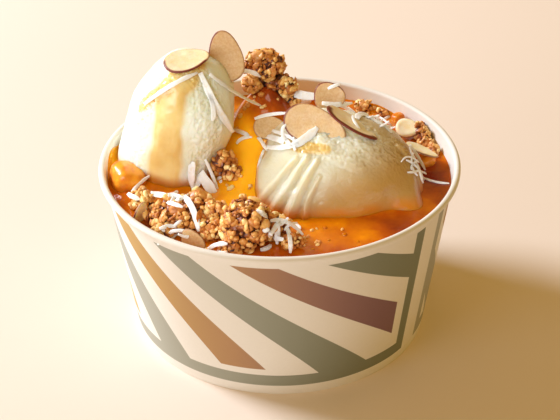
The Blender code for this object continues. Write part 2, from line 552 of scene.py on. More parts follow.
class Slot(Enum):
    """The record's material slots."""

    PAPER = "printed_paper"
    SAUCE = "fruit_sauce"
    YOGURT = "frozen_yogurt"
    GRANOLA = "granola"
    FRUIT = "fruit"
    ALMOND = "almond"
    COCONUT = "coconut"


@dataclass(frozen=True)
class Finish:
    """How one kind of surface looks; each kind has its colours as fields."""

    name: str
    slot: Slot

    def paint(self, shade: Shade) -> None:
        """Makes the material's nodes; each kind of finish has its own."""
        raise NotImplementedError

    @cache
    def material(self) -> bpy.types.Material:
        """The finish's material, made when it is first asked for.

        Returns:
            The material.
        """
        shade = Shade(self.name)
        self.paint(shade)
        return shade.material


@dataclass(frozen=True)
class PrintedPaper(Finish):
    """Coated white paper, printed outside with diagonal bars in two thin frames."""

    paper: Colour = (0.88, 0.86, 0.80)
    # the grey and brown bars darken from each frame's left to its right: partly the print's own
    # ochre-to-plum change, partly painted light and shade, lighter on the lit left and darker on
    # the shaded right
    grey: tuple[Colour, Colour] = ((0.43, 0.43, 0.36), (0.23, 0.25, 0.18))
    brown: tuple[Colour, ...] = ((0.56, 0.36, 0.125), (0.46, 0.265, 0.13), (0.24, 0.13, 0.15))
    panels: int = 2
    panel_middle: float = -32.15  # degrees from the front
    panel_half: float = 85.35  # degrees
    line_wide: float = 4.6  # degrees
    bar_gap: float = 4.2  # degrees between a brown bar and the frame
    bar_top: float = 53.7  # heights in millimetres
    frame_top: float = 8.3
    frame_low: float = 3.7
    brown_low: float = 10.8
    pitch: float = 18.75  # millimetres across the bars
    bar_wide: float = 9.6
    bar_start: float = -3.3
    bar_angle: float = 38.45  # degrees, on the flat sheet
    bow: float = 3.7  # how far a bar bends, in millimetres
    bow_shift: float = 2.0
    bow_middle: float = 31.0
    bow_half: float = 23.0
    edge: float = 0.09  # how soft a printed edge is, in millimetres
    spot: float = 0.5 * MM  # width of the fibres
    rise: float = 0.012 * MM  # how far they stand out

    def above(self, value: Value, low: float) -> Value:
        """1 where a value is over low, with a printed edge."""
        return value.sharp(low, low + self.edge)

    def paint(self, shade: Shade) -> None:
        """Lays the print out on the flat sheet that the wall is rolled from.

        Args:
            shade: the material in the making.
        """
        x, y, z = shade.axes()
        height = z / MM
        angle = shade.maths("ARCTAN2", x, y * -1.0) * math.degrees(1)
        share = 360 / self.panels
        wrapped = shade.maths("FRACT", (angle - self.panel_middle) / share + 0.5)
        across = (wrapped - 0.5) * share
        spread = math.sin(math.atan(SLOPE))
        bearing = (across + self.panel_middle) * math.radians(spread)
        slant = (height * SLOPE + FOOT_RADIUS / MM) / spread
        flat_x = slant * shade.maths("SINE", bearing)
        flat_y = slant * shade.maths("COSINE", bearing) - FOOT_RADIUS / MM / spread
        lean = math.radians(self.bar_angle)
        bent = shade.maths("POWER", (height - self.bow_middle) / self.bow_half, 2.0)
        over = flat_x * math.sin(lean) + flat_y * math.cos(lean)
        over = over - self.bow_shift + bent * self.bow
        turns = (over - self.bar_start) / self.pitch
        within = shade.maths("FRACT", turns) * self.pitch
        bar = self.above(within, 0) * (1 - self.above(within, self.bar_wide))
        is_grey = shade.maths("FLOORED_MODULO", shade.maths("FLOOR", turns), 2.0)
        side = shade.maths("ABSOLUTE", across)
        line = self.panel_half - self.line_wide
        below_top = 1 - self.above(height, self.bar_top)
        inside = 1 - self.above(side, self.panel_half)
        panel = below_top * inside * self.above(height, self.frame_low)
        base = 1 - self.above(height, self.frame_top)
        framed = shade.maths("MAXIMUM", self.above(side, line), base)
        grey = shade.maths("MAXIMUM", framed, bar * is_grey) * panel
        room = 1 - self.above(side, line - self.bar_gap)
        brown = bar * (1 - is_grey) * room * self.above(height, self.brown_low) * below_top
        # painted light and shade along with the print's own gradient: the bars darken from each
        # frame's left to its right
        shift = across.soft(-40.0, 80.0)
        ochre, tan, plum = self.brown
        browns_with_shade = shade.ramp(shift, ((0.0, ochre), (0.45, tan), (1.0, plum)))
        greys_with_shade = shade.mix(shift, *self.grey)
        outside = shade.painted("printed").soft(0.3, 0.7)
        fibres = shade.noise(self.spot, 3)
        dimmer = tuple(0.95 * part for part in self.paper)
        paper = shade.mix(fibres.soft(0.3, 0.7) * 0.25, self.paper, dimmer)
        colour = shade.mix(grey * outside, paper, greys_with_shade)
        colour = shade.mix(brown * outside, colour, browns_with_shade)
        shade.bump(fibres, self.rise)
        shade.finish(colour, 0.55 + fibres * 0.12, specular=0.3)


@dataclass(frozen=True)
class Yogurt(Finish):
    """Frozen yogurt: creamy white, tiny ice grains, stains where sauce touches it, and tan painted
    shade.
    """

    white: Colour = (0.85, 0.875, 0.75)
    cream: Colour = (0.82, 0.82, 0.64)
    honey: Colour = tint(240, 212, 132)
    thick: Colour = tint(226, 182, 86)
    soaked_and_shaded: Colour = tint(192, 152, 84)
    amber: Colour = tint(206, 126, 22)
    patch: float = 5 * MM  # width of the creamier patches
    spot: float = 0.55 * MM  # width of the ice grains
    rise: float = 0.17 * MM  # how far they stand out

    def paint(self, shade: Shade) -> None:
        """Mixes cream and white, then the stains and the painted shade that the mesh carries.

        Args:
            shade: the material in the making.
        """
        patches = shade.noise(self.patch, 3)
        grain = shade.noise(self.spot, 3)
        colour = shade.mix(patches.soft(0.35, 0.65), self.white, self.cream)
        # painted shade: the relief's hollows are tinted towards cream
        colour = shade.mix(shade.painted("hollow_shade") * 0.5, colour, self.cream)
        honey = shade.painted("honey")
        run = shade.mix(patches.soft(0.3, 0.7), self.honey, self.thick)
        colour = shade.mix(honey * 0.85, colour, run)
        # the stains, and painted shade in the same tan
        colour = shade.mix(shade.painted("soak_and_shade"), colour, self.soaked_and_shaded)
        colour = shade.mix(shade.painted("amber"), colour, self.amber)
        shade.bump(grain * (1 - honey * 0.7), self.rise)
        wet = (1 - shade.painted("soak_and_shade") * 0.6) * (1 - honey * 0.5)
        shade.finish(colour, (0.34 + patches * 0.2) * wet, soft=1.0, depth=4.2 * MM,
                     reach=(1, 0.85, 0.65), coat=0.12, coat_roughness=0.25)


@dataclass(frozen=True)
class Sauce(Finish):
    """Glossy fruit sauce: bright yellow-orange where thin, red-brown where deep; painted light in
    shade.
    """

    stops: tuple[tuple[float, Colour], ...] = (
        (0.0, tint(252, 176, 24)),
        (0.3, tint(206, 118, 0)),
        (0.6, tint(168, 74, 6)),
        (1.0, tint(108, 26, 14)),
    )
    spot: float = 1.6 * MM  # width of the pulp
    rise: float = 0.05 * MM  # how far it stands out

    def paint(self, shade: Shade) -> None:
        """Colours the sauce by how deep it looks and by painted light, with a little pulp in it.

        Args:
            shade: the material in the making.
        """
        pulp = shade.noise(self.spot, 4)
        deep = shade.painted("deep") + (pulp - 0.5) * 0.35
        colour = shade.ramp(deep, self.stops)
        shade.bump(pulp, self.rise)
        shade.finish(colour, 0.12 + pulp.soft(0.4, 0.9) * 0.08, soft=0.5, depth=3 * MM,
                     reach=(1, 0.35, 0.08), coat=0.25, coat_roughness=0.03, specular=0.3)


@dataclass(frozen=True)
class Toasted(Finish):
    """Toasted oats and crisps with a honey shine; painted shade makes them tan on top, dark in the
    gaps.
    """

    stops: tuple[tuple[float, Colour], ...] = (
        (0.0, tint(255, 228, 160)),
        (0.3, tint(238, 180, 98)),
        (0.6, tint(202, 122, 46)),
        (0.85, tint(128, 58, 18)),
        (1.0, tint(60, 18, 8)),
    )
    spot: float = 0.7 * MM  # width of the spots
    rise: float = 0.16 * MM  # how far they stand out

    def paint(self, shade: Shade) -> None:
        """Colours each grain by how toasted it is, with spots and a rough skin.

        Args:
            Colours each grain by how toasted it is and by its painted shade, with spots and a
            rough skin.
        """
        spots = shade.noise(self.spot, 3)
        toast = shade.painted("toast") + (spots - 0.5) * 0.7
        colour = shade.ramp(toast, self.stops)
        shade.bump(spots, self.rise)
        shade.finish(colour, 0.38 + spots * 0.3, soft=0.12, depth=1 * MM,
                     reach=(1, 0.5, 0.2), coat=0.25, coat_roughness=0.2)


@dataclass(frozen=True)
class Almond(Finish):
    """A slice of almond: cream inside, with faint lines, and brown skin at the edge."""

    cream: Colour = tint(248, 226, 176)
    pale: Colour = tint(252, 238, 206)
    edge: Colour = tint(212, 170, 118)
    rind: Colour = tint(140, 80, 36)
    skin: Colour = tint(112, 34, 12)
    spot: float = 1.4 * MM  # width of the paler spots
    line: float = 0.35 * MM  # width of the faint lines
    rise: float = 0.05 * MM  # how far the spots stand out

    def paint(self, shade: Shade) -> None:
        """Blends cream and pale flesh, a darker border, and the skin.

        Args:
            shade: the material in the making.
        """
        flesh = shade.noise(self.spot, 3)
        lines = shade.noise(self.line, 2)
        colour = shade.mix(flesh.soft(0.3, 0.7), self.cream, self.pale)
        wet = shade.painted("wet") * (0.75 + lines.soft(0.3, 0.7) * 0.25)
        colour = shade.mix(wet, colour, self.edge)
        colour = shade.mix(lines.soft(0.55, 0.8) * 0.35, colour, self.edge)
        border = shade.painted("rim").soft(0.90, 1.0)
        colour = shade.mix(border * 0.8, colour, self.rind)
        colour = shade.mix(shade.painted("skin"), colour, self.skin)
        shade.bump(flesh + lines * 0.4, self.rise)
        shade.finish(colour, 0.4 + flesh * 0.2, soft=0.3, depth=1.5 * MM,
                     reach=(1, 0.6, 0.3), coat=0.1, coat_roughness=0.2)


@dataclass(frozen=True)
class Coconut(Finish):
    """Dried coconut: matt white, with faint cream streaks along its fibres."""

    white: Colour = tint(255, 255, 252)
    cream: Colour = tint(250, 242, 222)
    spot: float = 0.5 * MM  # width of the fibres
    rise: float = 0.05 * MM  # how far they stand out

    def paint(self, shade: Shade) -> None:
        """White with cream streaks along the fibres.

        Args:
            shade: the material in the making.
        """
        fibre = shade.noise(self.spot, 3)
        colour = shade.mix(fibre.soft(0.45, 0.8), self.white, self.cream)
        shade.bump(fibre, self.rise)
        shade.finish(colour, 0.4 + fibre * 0.15, soft=0.5, depth=1.5 * MM, reach=(1, 0.95, 0.85))


@dataclass(frozen=True)
class SoftFruit(Finish):
    """A wet piece of soft orange fruit."""

    light: Colour = tint(244, 168, 44)
    dark: Colour = tint(212, 112, 18)
    spot: float = 2 * MM  # width of the darker spots
    rise: float = 0.06 * MM  # how far they stand out

    def paint(self, shade: Shade) -> None:
        """Mottles light and dark flesh under a wet shine.

        Args:
            shade: the material in the making.
        """
        flesh = shade.noise(self.spot, 4)
        colour = shade.mix(flesh.soft(0.3, 0.75), self.light, self.dark)
        shade.bump(flesh, self.rise)
        shade.finish(colour, 0.26 + flesh * 0.12, soft=0.6, depth=3 * MM,
                     reach=(1, 0.5, 0.15), coat=0.14, coat_roughness=0.1)


@dataclass(frozen=True)
class Floor(Finish):
    """The plain pale surface that the cup stands on."""

    colour: Colour = (0.90, 0.79, 0.69)
    spot: float = 80 * MM  # width of the faint change over it

    def paint(self, shade: Shade) -> None:
        """Plain, with the faintest change over it.

        Args:
            shade: the material in the making.
        """
        cloud = shade.noise(self.spot, 2)
        dimmer = tuple(0.97 * part for part in self.colour)
        shade.finish(shade.mix(cloud, self.colour, dimmer), 0.7)


PAPER_FINISH = PrintedPaper("cup_paper", Slot.PAPER)
YOGURT_FINISH = Yogurt("yogurt_flesh", Slot.YOGURT)
SAUCE_FINISH = Sauce("deep_sauce", Slot.SAUCE)
GRANOLA_FINISH = Toasted("toasted_granola", Slot.GRANOLA)
ALMOND_FINISH = Almond("almond_flesh", Slot.ALMOND)
COCONUT_FINISH = Coconut("coconut_flesh", Slot.COCONUT)
FRUIT_FINISH = SoftFruit("soft_fruit", Slot.FRUIT)
FOOD: list[str] = []  # the names of the pieces that are food


def new_object(name: str, data: bpy.types.ID) -> bpy.types.Object:
    """A new object in the scene that shows this data.

    Args:
        name: the object's name.
        data: its mesh, lamp or camera.

    Returns:
        The object.
    """
    made = bpy.data.objects.new(name, data)
    bpy.context.scene.collection.objects.link(made)
    return made


def add_piece(name: str, shape: Shape, finish: Finish, *nodes: str) -> None:
    """Makes a shape a piece of the model.

    Args:
        name: the piece's name.
        shape: its points, faces and named values.
        finish: how it looks.
        nodes: the CAD nodes that it replaces.
    """
    mesh = bpy.data.meshes.new(name)
    mesh.from_pydata(shape.points.tolist(), [], shape.faces.tolist())
    for key, values in shape.values.items():
        layer = mesh.attributes.new(key, "FLOAT", "POINT")
        layer.data.foreach_set("value", np.asarray(values, np.float32))
    bm = bmesh.new()
    bm.from_mesh(mesh)
    bmesh.ops.remove_doubles(bm, verts=bm.verts, dist=WELD)
    bmesh.ops.recalc_face_normals(bm, faces=bm.faces)
    bm.to_mesh(mesh)
    bm.free()
    mesh.shade_smooth()
    mesh.set_sharp_from_angle(angle=CREASE)
    mesh.materials.append(finish.material())
    piece = new_object(name, mesh)
    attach(piece, BODY)
    if nodes:
        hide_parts(*nodes)
    if finish.slot is not Slot.PAPER:
        FOOD.append(name)
    log.info("%s: %d faces, for %s", name, len(mesh.polygons), nodes or "no node")


def lay(bed: Bed, name: str, shape: Shape, finish: Finish, *nodes: str) -> None:
    """Makes a shape a piece, and part of what further toppings are laid on."""
    add_piece(name, shape, finish, *nodes)
    bed.add(shape)


# ---------------------------------------------------------------- the cup


@dataclass
class PaperCup:
    """The cup: one sheet rolled into a cone with a glued seam, a floor, and a rolled rim."""

    steps: int = 360
    wall_rows: int = 26
    roll_steps: int = 22
    roll_angles: tuple[float, float] = (178.0, -114.0)  # where the rim's roll starts and ends
    foot_width: float = 1.5 * MM  # how wide the ring is that it stands on
    fold: float = 0.35 * MM  # how round the foot's edge is
    seam_angle: float = 196.0  # degrees from the front, so it is at the back
    seam_step: float = 0.32 * MM  # how far the lap stands out
    seam_fade: float = 11.0  # degrees over which the lap thins out
    seam_edge: float = 0.08  # half of the lap's edge, in degrees
    first_angle: float = 0.37  # degrees; keeps the even steps off the seam
    waver: float = 0.10 * MM  # how uneven the rim is

    def profile(self) -> tuple[Array, Array]:
        """The half section.

        Returns:
            Its (radius, height) points, and 1 for each that lies on the printed side.
        """
        inside = [(inner_radius(z), z) for z in np.linspace(FLOOR_TOP, WALL_TOP, self.wall_rows)]
        start, end = (math.radians(angle) for angle in self.roll_angles)
        turn = np.linspace(start, end, self.roll_steps)
        roll = [(RIM_RADIUS - ROLL + ROLL * math.cos(a), HEIGHT - ROLL + ROLL * math.sin(a))
                for a in turn]
        heights = np.linspace(WALL_TOP - ROLL, self.fold, self.wall_rows)
        outside = [(FOOT_RADIUS + SLOPE * z, z) for z in heights]
        foot_inside = FOOT_RADIUS - self.foot_width
        foot = [
            (FOOT_RADIUS - 0.3 * self.fold, 0.0),
            (foot_inside + self.fold, 0.0),
            (foot_inside, self.fold),
            (foot_inside, FLOOR_UNDERSIDE),
            (0.0, FLOOR_UNDERSIDE),
        ]
        rows = [(0.0, FLOOR_TOP), *inside, *roll, *outside, *foot]
        before = 1 + len(inside) + len(roll)
        printed = np.zeros(len(rows))
        printed[before : before + len(outside) + 1] = 1.0
        return np.array(rows), printed

    def shape(self) -> Shape:
        """Turns the half section round, with the seam's lap and a slightly uneven rim.

        Returns:
            The cup's shape.
        """
        rows, printed = self.profile()
        seam = (self.seam_angle - self.seam_edge, self.seam_angle + self.seam_edge)
        even = np.linspace(0, 360, self.steps, endpoint=False) + self.first_angle
        angles = np.radians(np.sort(np.append(even, seam)))
        past = (np.degrees(angles) - self.seam_angle) % 360
        lap = np.where(past < self.seam_fade, 1 - past / self.seam_fade, 0) * self.seam_step
        radius, height = spun(rows, len(angles))
        wall = (height > FLOOR_UNDERSIDE) & (radius > 0.9 * FOOT_RADIUS)
        outer = np.repeat(printed[:, None], len(angles), axis=1)
        ways = np.stack([np.sin(angles), -np.cos(angles), 0 * angles], -1)
        lift = (height / HEIGHT) ** 3 * self.waver * rough(ways, 0.5, 5)
        radius = radius + wall * (lift + outer * lap)
        points = np.stack([radius * np.sin(angles), -radius * np.cos(angles), height], -1)
        values = {"printed": outer.reshape(-1)}
        return Shape(points.reshape(-1, 3), grid_faces(len(rows), len(angles)), values)

    def build(self) -> None:
        """Makes the cup's piece."""
        add_piece("paper_cup_wall", self.shape(), PAPER_FINISH, "paper_cup")


# ---------------------------------------------------------------- the scoops


@dataclass
class Scoop:
    """An egg of frozen yogurt, with the relief that the scoop's lip leaves on it."""

    name: str
    middle: Point
    half: Point
    tilt: Point
    square: float  # 2 for an egg, more for a squarer shape
    swirl: float  # how far the scoop's swirl goes in and out, in millimetres
    steps: int = 100
    folds: tuple[Trail, ...] = ()
    torn: tuple[Trail, ...] = ()  # where the surface is rough and streaky
    honey: tuple[Trail, ...] = ()  # runs of thin sauce
    soaked_and_shaded: tuple[Trail, ...] = ()  # painted shade, in the stain's tan colour
    bulges: tuple[tuple[Point, float, float], ...] = ()  # middle, reach and height
    streak: Point = (1.0, 1.0, 4.0)  # how long the torn streaks are along each axis
    tone: float = 0.0  # how far it is tinted to the stain's tan all over, as painted shade
    seed: int = 1
    swirls: float = 9.0  # how often the scoop's swirl goes in and out from top to bottom
    lumps: tuple[tuple[float, float], ...] = ((11.0, 0.45), (4.0, 0.22))  # width and height

    def __post_init__(self) -> None:
        """Works out the matrix that places the egg, and pulls the trails onto it."""
        self.matrix = placing(self.middle, self.tilt)
        self.sizes = np.array(self.half) * MM
        for kind in ("folds", "torn", "honey", "soaked_and_shaded"):
            setattr(self, kind, tuple(self.wrapped(trail) for trail in getattr(self, kind)))

    def away(self, places: Array) -> Array:
        """About how far places are outside the egg, in metres; inside it is negative."""
        local = carried(places, self.matrix.inverted()) / self.sizes
        return (from_middle(local, self.square)[:, 0] - 1) * self.sizes.mean()

    def wrapped(self, trail: Trail) -> Trail:
        """The trail with more points, all of them pulled onto the egg.

        Args:
            trail: a trail near the egg.

        Returns:
            The longer trail.
        """
        knots = np.array(trail.points, float)
        at = np.linspace(0, len(knots) - 1, 4 * (len(knots) - 1) + 1)
        index = np.arange(len(knots))
        knots = np.stack([np.interp(at, index, column) for column in knots.T], -1) * MM
        local = carried(knots, self.matrix.inverted()) / self.sizes
        local /= from_middle(local, self.square)
        pulled = carried(local * self.sizes, self.matrix)
        points = tuple(tuple(point) for point in pulled / MM)
        return Trail(points, tuple(np.interp(at, index, trail.widths)), trail.height)

    def egg(self) -> tuple[Shape, Array, Array]:
        """The smooth egg.

        Returns:
            Its shape, its normals, and its points before they are sized and placed.
        """
        ways, faces = quad_sphere(self.steps)
        ball = ways / from_middle(ways, self.square)
        slope = unit(np.sign(ball) * np.abs(ball) ** (self.square - 1) / self.sizes)
        turn = np.array(self.matrix)[:3, :3]
        return Shape(ball * self.sizes, faces).moved(self.matrix), slope @ turn.T, ball

    def ragged(self, trail: Trail, points: Array) -> Array:
        """How near points are to a run of thin sauce, whose sides are uneven."""
        return trail.near(points) + 0.15 * rough(points, 4 * MM, 31)

    def relief(self, points: Array, ball: Array) -> Array:
        """How far each point stands out of the smooth egg, in millimetres.

        Args:
            points: the egg's points in metres.
            ball: the same points before they are sized and placed.

        Returns:
            One height for each.
        """
        x, y, z = ball.T
        height = self.swirl * np.sin(self.swirls * z + 2 * np.arctan2(y, x)) * (1 - z * z)
        for layer, (wide, rise) in enumerate(self.lumps):
            height += rise * rough(points, wide * MM, self.seed + layer)
        height += 0.05 * layers(points, 1.6 * MM, 2, self.seed + 2)
        streaks = layers(points / np.array(self.streak), 1.3 * MM, 2, self.seed + 3)
        grains = np.abs(layers(points, 1.1 * MM, 2, self.seed + 6))
        for trail in self.torn:
            rows = 0.35 * streaks - 1.1 * grains + 0.4
            height += trail.height * smooth(trail.near(points), 0, 0.6) * rows
        for trail in self.folds:
            near = trail.near(points) + 0.12 * rough(points, 2.5 * MM, self.seed + 4)
            height += trail.height * np.clip(near, 0, 1) ** 0.7 * (near > 0)
        for trail in self.honey:
            height += trail.height * smooth(self.ragged(trail, points), -0.15, 0.5)
        for middle, reach, rise in self.bulges:
            away = np.linalg.norm(points - np.array(middle) * MM, axis=1) / (reach * MM)
            height += rise * np.exp(-away * away)
        return height

    def shape(self, sauce_over: Callable[[Array], Array]) -> Shape:
        """The egg with its relief, its stains and its painted shade.

        Args:
            sauce_over: gives the sauce's height over points, in metres.

        Returns:
            The shape.
        """
        egg, normals, ball = self.egg()
        height = self.relief(egg.points, ball)
        points = egg.points + normals * height[:, None] * MM
        over = points[:, 2] - sauce_over(points)
        wander = 0.8 * MM * rough(points, 5 * MM, 9)
        soak_and_shade = 0.7 * (1 - smooth(over + wander, 0.2 * MM, 5.0 * MM))
        # sauce stains the yogurt just above its surface; the soaked trails and the tone add
        # painted shade in the same tan
        for trail in self.soaked_and_shaded:
            soak_and_shade = np.maximum(soak_and_shade, trail.height * smooth(trail.near(points), -0.9, 0.8))
        soak_and_shade = np.maximum(soak_and_shade, self.tone)
        amber = 1 - smooth(over + 1.5 * wander, 0.0, 5.0 * MM)
        honey = np.zeros(len(points))
        for trail in self.honey:
            honey = np.maximum(honey, smooth(self.ragged(trail, points), -0.2, 0.25))
        # painted shade: how deep a point lies in a hollow of the relief
        hollow_shade = smooth(-height, 0.0, 0.7)
        values = {"soak_and_shade": soak_and_shade, "amber": amber, "honey": honey, "hollow_shade": hollow_shade}
        limit = inner_radius(points[:, 2]) - 0.2 * MM
        away = np.hypot(points[:, 0], points[:, 1])
        outside = (points[:, 2] < HEIGHT) & (away > limit)
        points[:, :2] *= np.where(outside, limit / np.maximum(away, MM), 1)[:, None]
        return Shape(points, egg.faces, values)

    def build(self, bed: Bed, sauce_over: Callable[[Array], Array]) -> None:
        """Makes the scoop's piece and adds it to the bed."""
        lay(bed, self.name + "_yogurt", self.shape(sauce_over), YOGURT_FINISH, self.name)


SCOOP_LEFT = Scoop(
    "scoop_left", (-33.9, 9.6, 64.3), (17.0, 18.2, 29.2), (0.0, 19.0, 0.0), 2.3, 0.35, seed=3,
    torn=(
        Trail(((-24, 0, 88), (-23, -4, 80), (-24, -6, 66), (-26, -7, 56)), (6, 8, 8, 6), 0.6),
        Trail(((-42, -2, 84), (-45, -3, 70), (-46, -4, 56)), (5, 6, 6), 0.4),
        Trail(((-31, 1, 92), (-39, -1, 88), (-45, -1, 78)), (5, 7, 6), 0.6),
    ),
    honey=(
        Trail(((-27, 3, 91), (-31, -1, 89), (-34, -3, 86)), (4, 5.5, 5), 0.4),
        Trail(((-34, -3, 86), (-35, -5, 80), (-36, -7, 70), (-38, -8, 52)), (5.2, 5, 5, 5.4), 0.5),
        Trail(((-34, -2, 88), (-39, -2, 85), (-45, 0, 79)), (2.6, 2.2, 2.0), 0.3),
    ),
)
SCOOP_RIGHT = Scoop(
    "scoop_right", (18.6, -3.0, 54.6), (27.6, 21.3, 20.6), (0.0, 9.0, -2.0), 2.15, 0.3, seed=8,
    steps=110,
    streak=(3.0, 1.0, 1.0),
    # painted shade: the whole scoop is tinted a little towards the stain's tan
    tone=0.27,
    folds=(
        Trail(((-4, -15, 52), (1, -16, 60), (6, -16, 68)), (1.4, 1.7, 1.0), 1.2),
        Trail(((0, -18, 51), (4, -19, 60), (9, -17, 69)), (1.5, 1.8, 1.0), 1.5),
        Trail(((4.5, -21, 51), (6.5, -21, 59), (12, -18, 68)), (1.7, 2.1, 1.2), 1.7),
        Trail(((9, -22, 51), (9.5, -22, 58), (13, -20, 64)), (1.3, 1.4, 0.8), 1.1),
        Trail(((45, -10, 50), (44, -9, 60), (38, -8, 68)), (2.0, 2.0, 1.2), 0.8),
        Trail(((13, -12, 73), (18, -17, 69), (25, -19, 66)), (2.5, 3.0, 2.0), 0.5),
    ),
    torn=(Trail(((10, -14, 72), (26, -12, 72), (38, -8, 67)), (9, 13, 10), 0.45),
          Trail(((40, -4, 66), (44, -4, 56)), (8, 8), 0.3)),
    honey=(Trail(((2, -8, 70), (7, -14, 71), (15, -16, 71)), (2.0, 2.2, 1.6), 0.25),),
    soaked_and_shaded=(
        # painted shade: tan on the lower right and the right side, where the scoop turns from the
        # light
        Trail(((10, -24, 52), (24, -24, 56), (38, -17, 60), (45, -6, 62)), (6, 11, 14, 13), 1.0),
        Trail(((24, -4, 74), (38, 0, 70), (45, 2, 60)), (6, 9, 10), 0.6),
    ),
    bulges=(
        ((-3, -16, 52), 7.0, 4.0),
        ((5, -21, 50), 7.0, 4.5),
        ((40, -16.5, 50), 5.0, 8.0),
        ((22, -24, 50), 13.0, 2.2),
        ((40, 0, 69), 8.0, -1.5),
        ((-7, 0, 66), 8.0, -4.0),
    ),
)


# ---------------------------------------------------------------- the sauce


@dataclass(frozen=True)
class Patch:
    """A round patch of the sauce's surface, in millimetres."""

    x: float
    y: float
    wide: float
    deep: float
    amount: float

    def over(self, x: Array, y: Array) -> Array:
        """The patch's amount over places in millimetres, fading from its middle."""
        across, along = (x - self.x) / self.wide, (y - self.y) / self.deep
        return self.amount * np.exp(-(across**2) - along**2)


@dataclass
class FruitSauce:
    """The sauce from the cup's floor to its swelling, glossy surface."""

    scoops: tuple[Scoop, ...]
    swells: tuple[Patch, ...] = (
        Patch(-4.2, 20.8, 14.0, 14.2, 21.0),
        Patch(-10.0, -3.0, 9.0, 13.0, 5.5),
        Patch(-46.0, -12.0, 9.0, 14.0, 2.3),
        Patch(-25.0, -32.0, 16.0, 12.0, 2.4),
    )
    colour_and_painted_light: tuple[Patch, ...] = (  # how much darker or lighter than usual: partly the sauce's own colour, partly painted light
        Patch(-3, 19, 11, 9, 0.45),
        Patch(-14, 12, 6, 7, -0.35),
        # painted light: the valley between the scoops, which lies in their shade, is made lighter
        Patch(-10, -6, 11, 15, -0.60),
        Patch(12, -34, 18, 8, -0.02),
        Patch(20, -46, 20, 5, 0.25),
        Patch(38, -30, 9, 9, 0.50),
        Patch(50, -4, 8, 14, 0.60),
        Patch(44, 20, 14, 14, 0.25),
        Patch(-48, -16, 9, 12, 0.25),
        Patch(-54, 8, 6, 9, -0.45),
        Patch(-38, -34, 12, 8, 0.40),
        Patch(-12, -40, 14, 10, 0.25),
    )
    usual: float = 0.36  # how deep the sauce looks where no patch changes it
    rings: int = 120
    steps: int = 320
    side_rows: int = 10
    climb: float = 0.8 * MM  # how far the sauce climbs what stands in it
    climb_wide: float = 1.1 * MM
    into_wall: float = 0.1 * MM  # how far it reaches into the wall, so that no gap shows
    sunk: float = 1.2 * MM  # how deep in a scoop, or near the wall, a grain no longer shows
    smears: tuple[Patch, ...] = (Patch(-54, 8, 8, 9, 4.0), Patch(34, 44, 8, 8, 1.2))

    def height(self, points: Array) -> Array:
        """The calm surface over points, in metres."""
        x, y = points[:, 0] / MM, points[:, 1] / MM
        return (SAUCE_LEVEL + sum(swell.over(x, y) for swell in self.swells)) * MM

    def surface(self, points: Array) -> Array:
        """The surface with its pulp, and the climb at the wall and the scoops.

        Args:
            points: places in metres, of which only x and y count.

        Returns:
            One height for each, in metres.
        """
        height = self.height(points)
        x, y = points[:, 0] / MM, points[:, 1] / MM
        heap = np.clip(self.swells[0].over(x, y) / self.swells[0].amount, 0, 1)
        pulp = layers(points, 5 * MM, 3, 41)
        height += (0.05 + 0.8 * heap) * MM * pulp
        places = np.stack([points[:, 0], points[:, 1], height], -1)
        for scoop in self.scoops:
            gap = np.clip(scoop.away(places), 0, 1)
            height += self.climb * np.exp(-gap / self.climb_wide)
        gap = inner_radius(height) - np.hypot(points[:, 0], points[:, 1])
        smeared = sum(smear.over(x, y) for smear in self.smears) * MM
        return height + (self.climb + smeared) * np.exp(-np.clip(gap, 0, 1) / self.climb_wide)

    def shape(self) -> Shape:
        """The whole filling as a turned grid whose top rows follow the surface.

        Returns:
            The sauce's shape.
        """
        bottom = FLOOR_TOP + self.into_wall
        rim = inner_radius(SAUCE_LEVEL * MM) + self.into_wall
        top = rim * np.sin(0.5 * math.pi * np.linspace(0, 1, self.rings) ** 0.85)
        side = np.linspace(SAUCE_LEVEL * MM, bottom, self.side_rows + 1)[1:]
        rows = [(r, SAUCE_LEVEL * MM) for r in top]
        rows += [(inner_radius(z) + self.into_wall, z) for z in side] + [(0.0, bottom)]
        angles = np.linspace(0, math.tau, self.steps, endpoint=False)
        radius, height = spun(rows, self.steps)
        points = np.stack([radius * np.cos(angles), radius * np.sin(angles), height], -1)
        points = points.reshape(-1, 3)
        upper = np.arange(len(points)) < self.rings * self.steps
        points[upper, 2] = self.surface(points[upper])
        edge = slice((self.rings - 1) * self.steps, self.rings * self.steps)
        out = inner_radius(points[edge, 2]) + self.into_wall
        points[edge, :2] *= (out / rim)[:, None]
        x, y = points[:, 0] / MM, points[:, 1] / MM
        # the darkness that the colour follows: the sauce's own colour, with painted light in the
        # shaded valley
        deep = self.usual + sum(patch.over(x, y) for patch in self.colour_and_painted_light)
        deep += 0.16 * layers(points, 9 * MM, 2, 47)
        return Shape(points, grid_faces(len(rows), self.steps), {"deep": deep})

    def build(self, bed: Bed) -> None:
        """Makes the sauce's piece and adds it to the bed."""
        lay(bed, "fruit_sauce_filling", self.shape(), SAUCE_FINISH, "fruit_sauce")

    def shows(self, places: Array) -> Array:
        """Whether grains at these places are clear of the sauce, the scoops and the wall.

        Args:
            places: the middles of grains, in metres.

        Returns:
            True for each that is clear.
        """
        clear = places[:, 2] > self.height(places) - 1.0 * MM
        for scoop in self.scoops:
            clear &= scoop.away(places) > -self.sunk
        within = np.hypot(places[:, 0], places[:, 1]) < inner_radius(places[:, 2]) - self.sunk
        return clear & (within | (places[:, 2] > HEIGHT))


# ---------------------------------------------------------------- granola


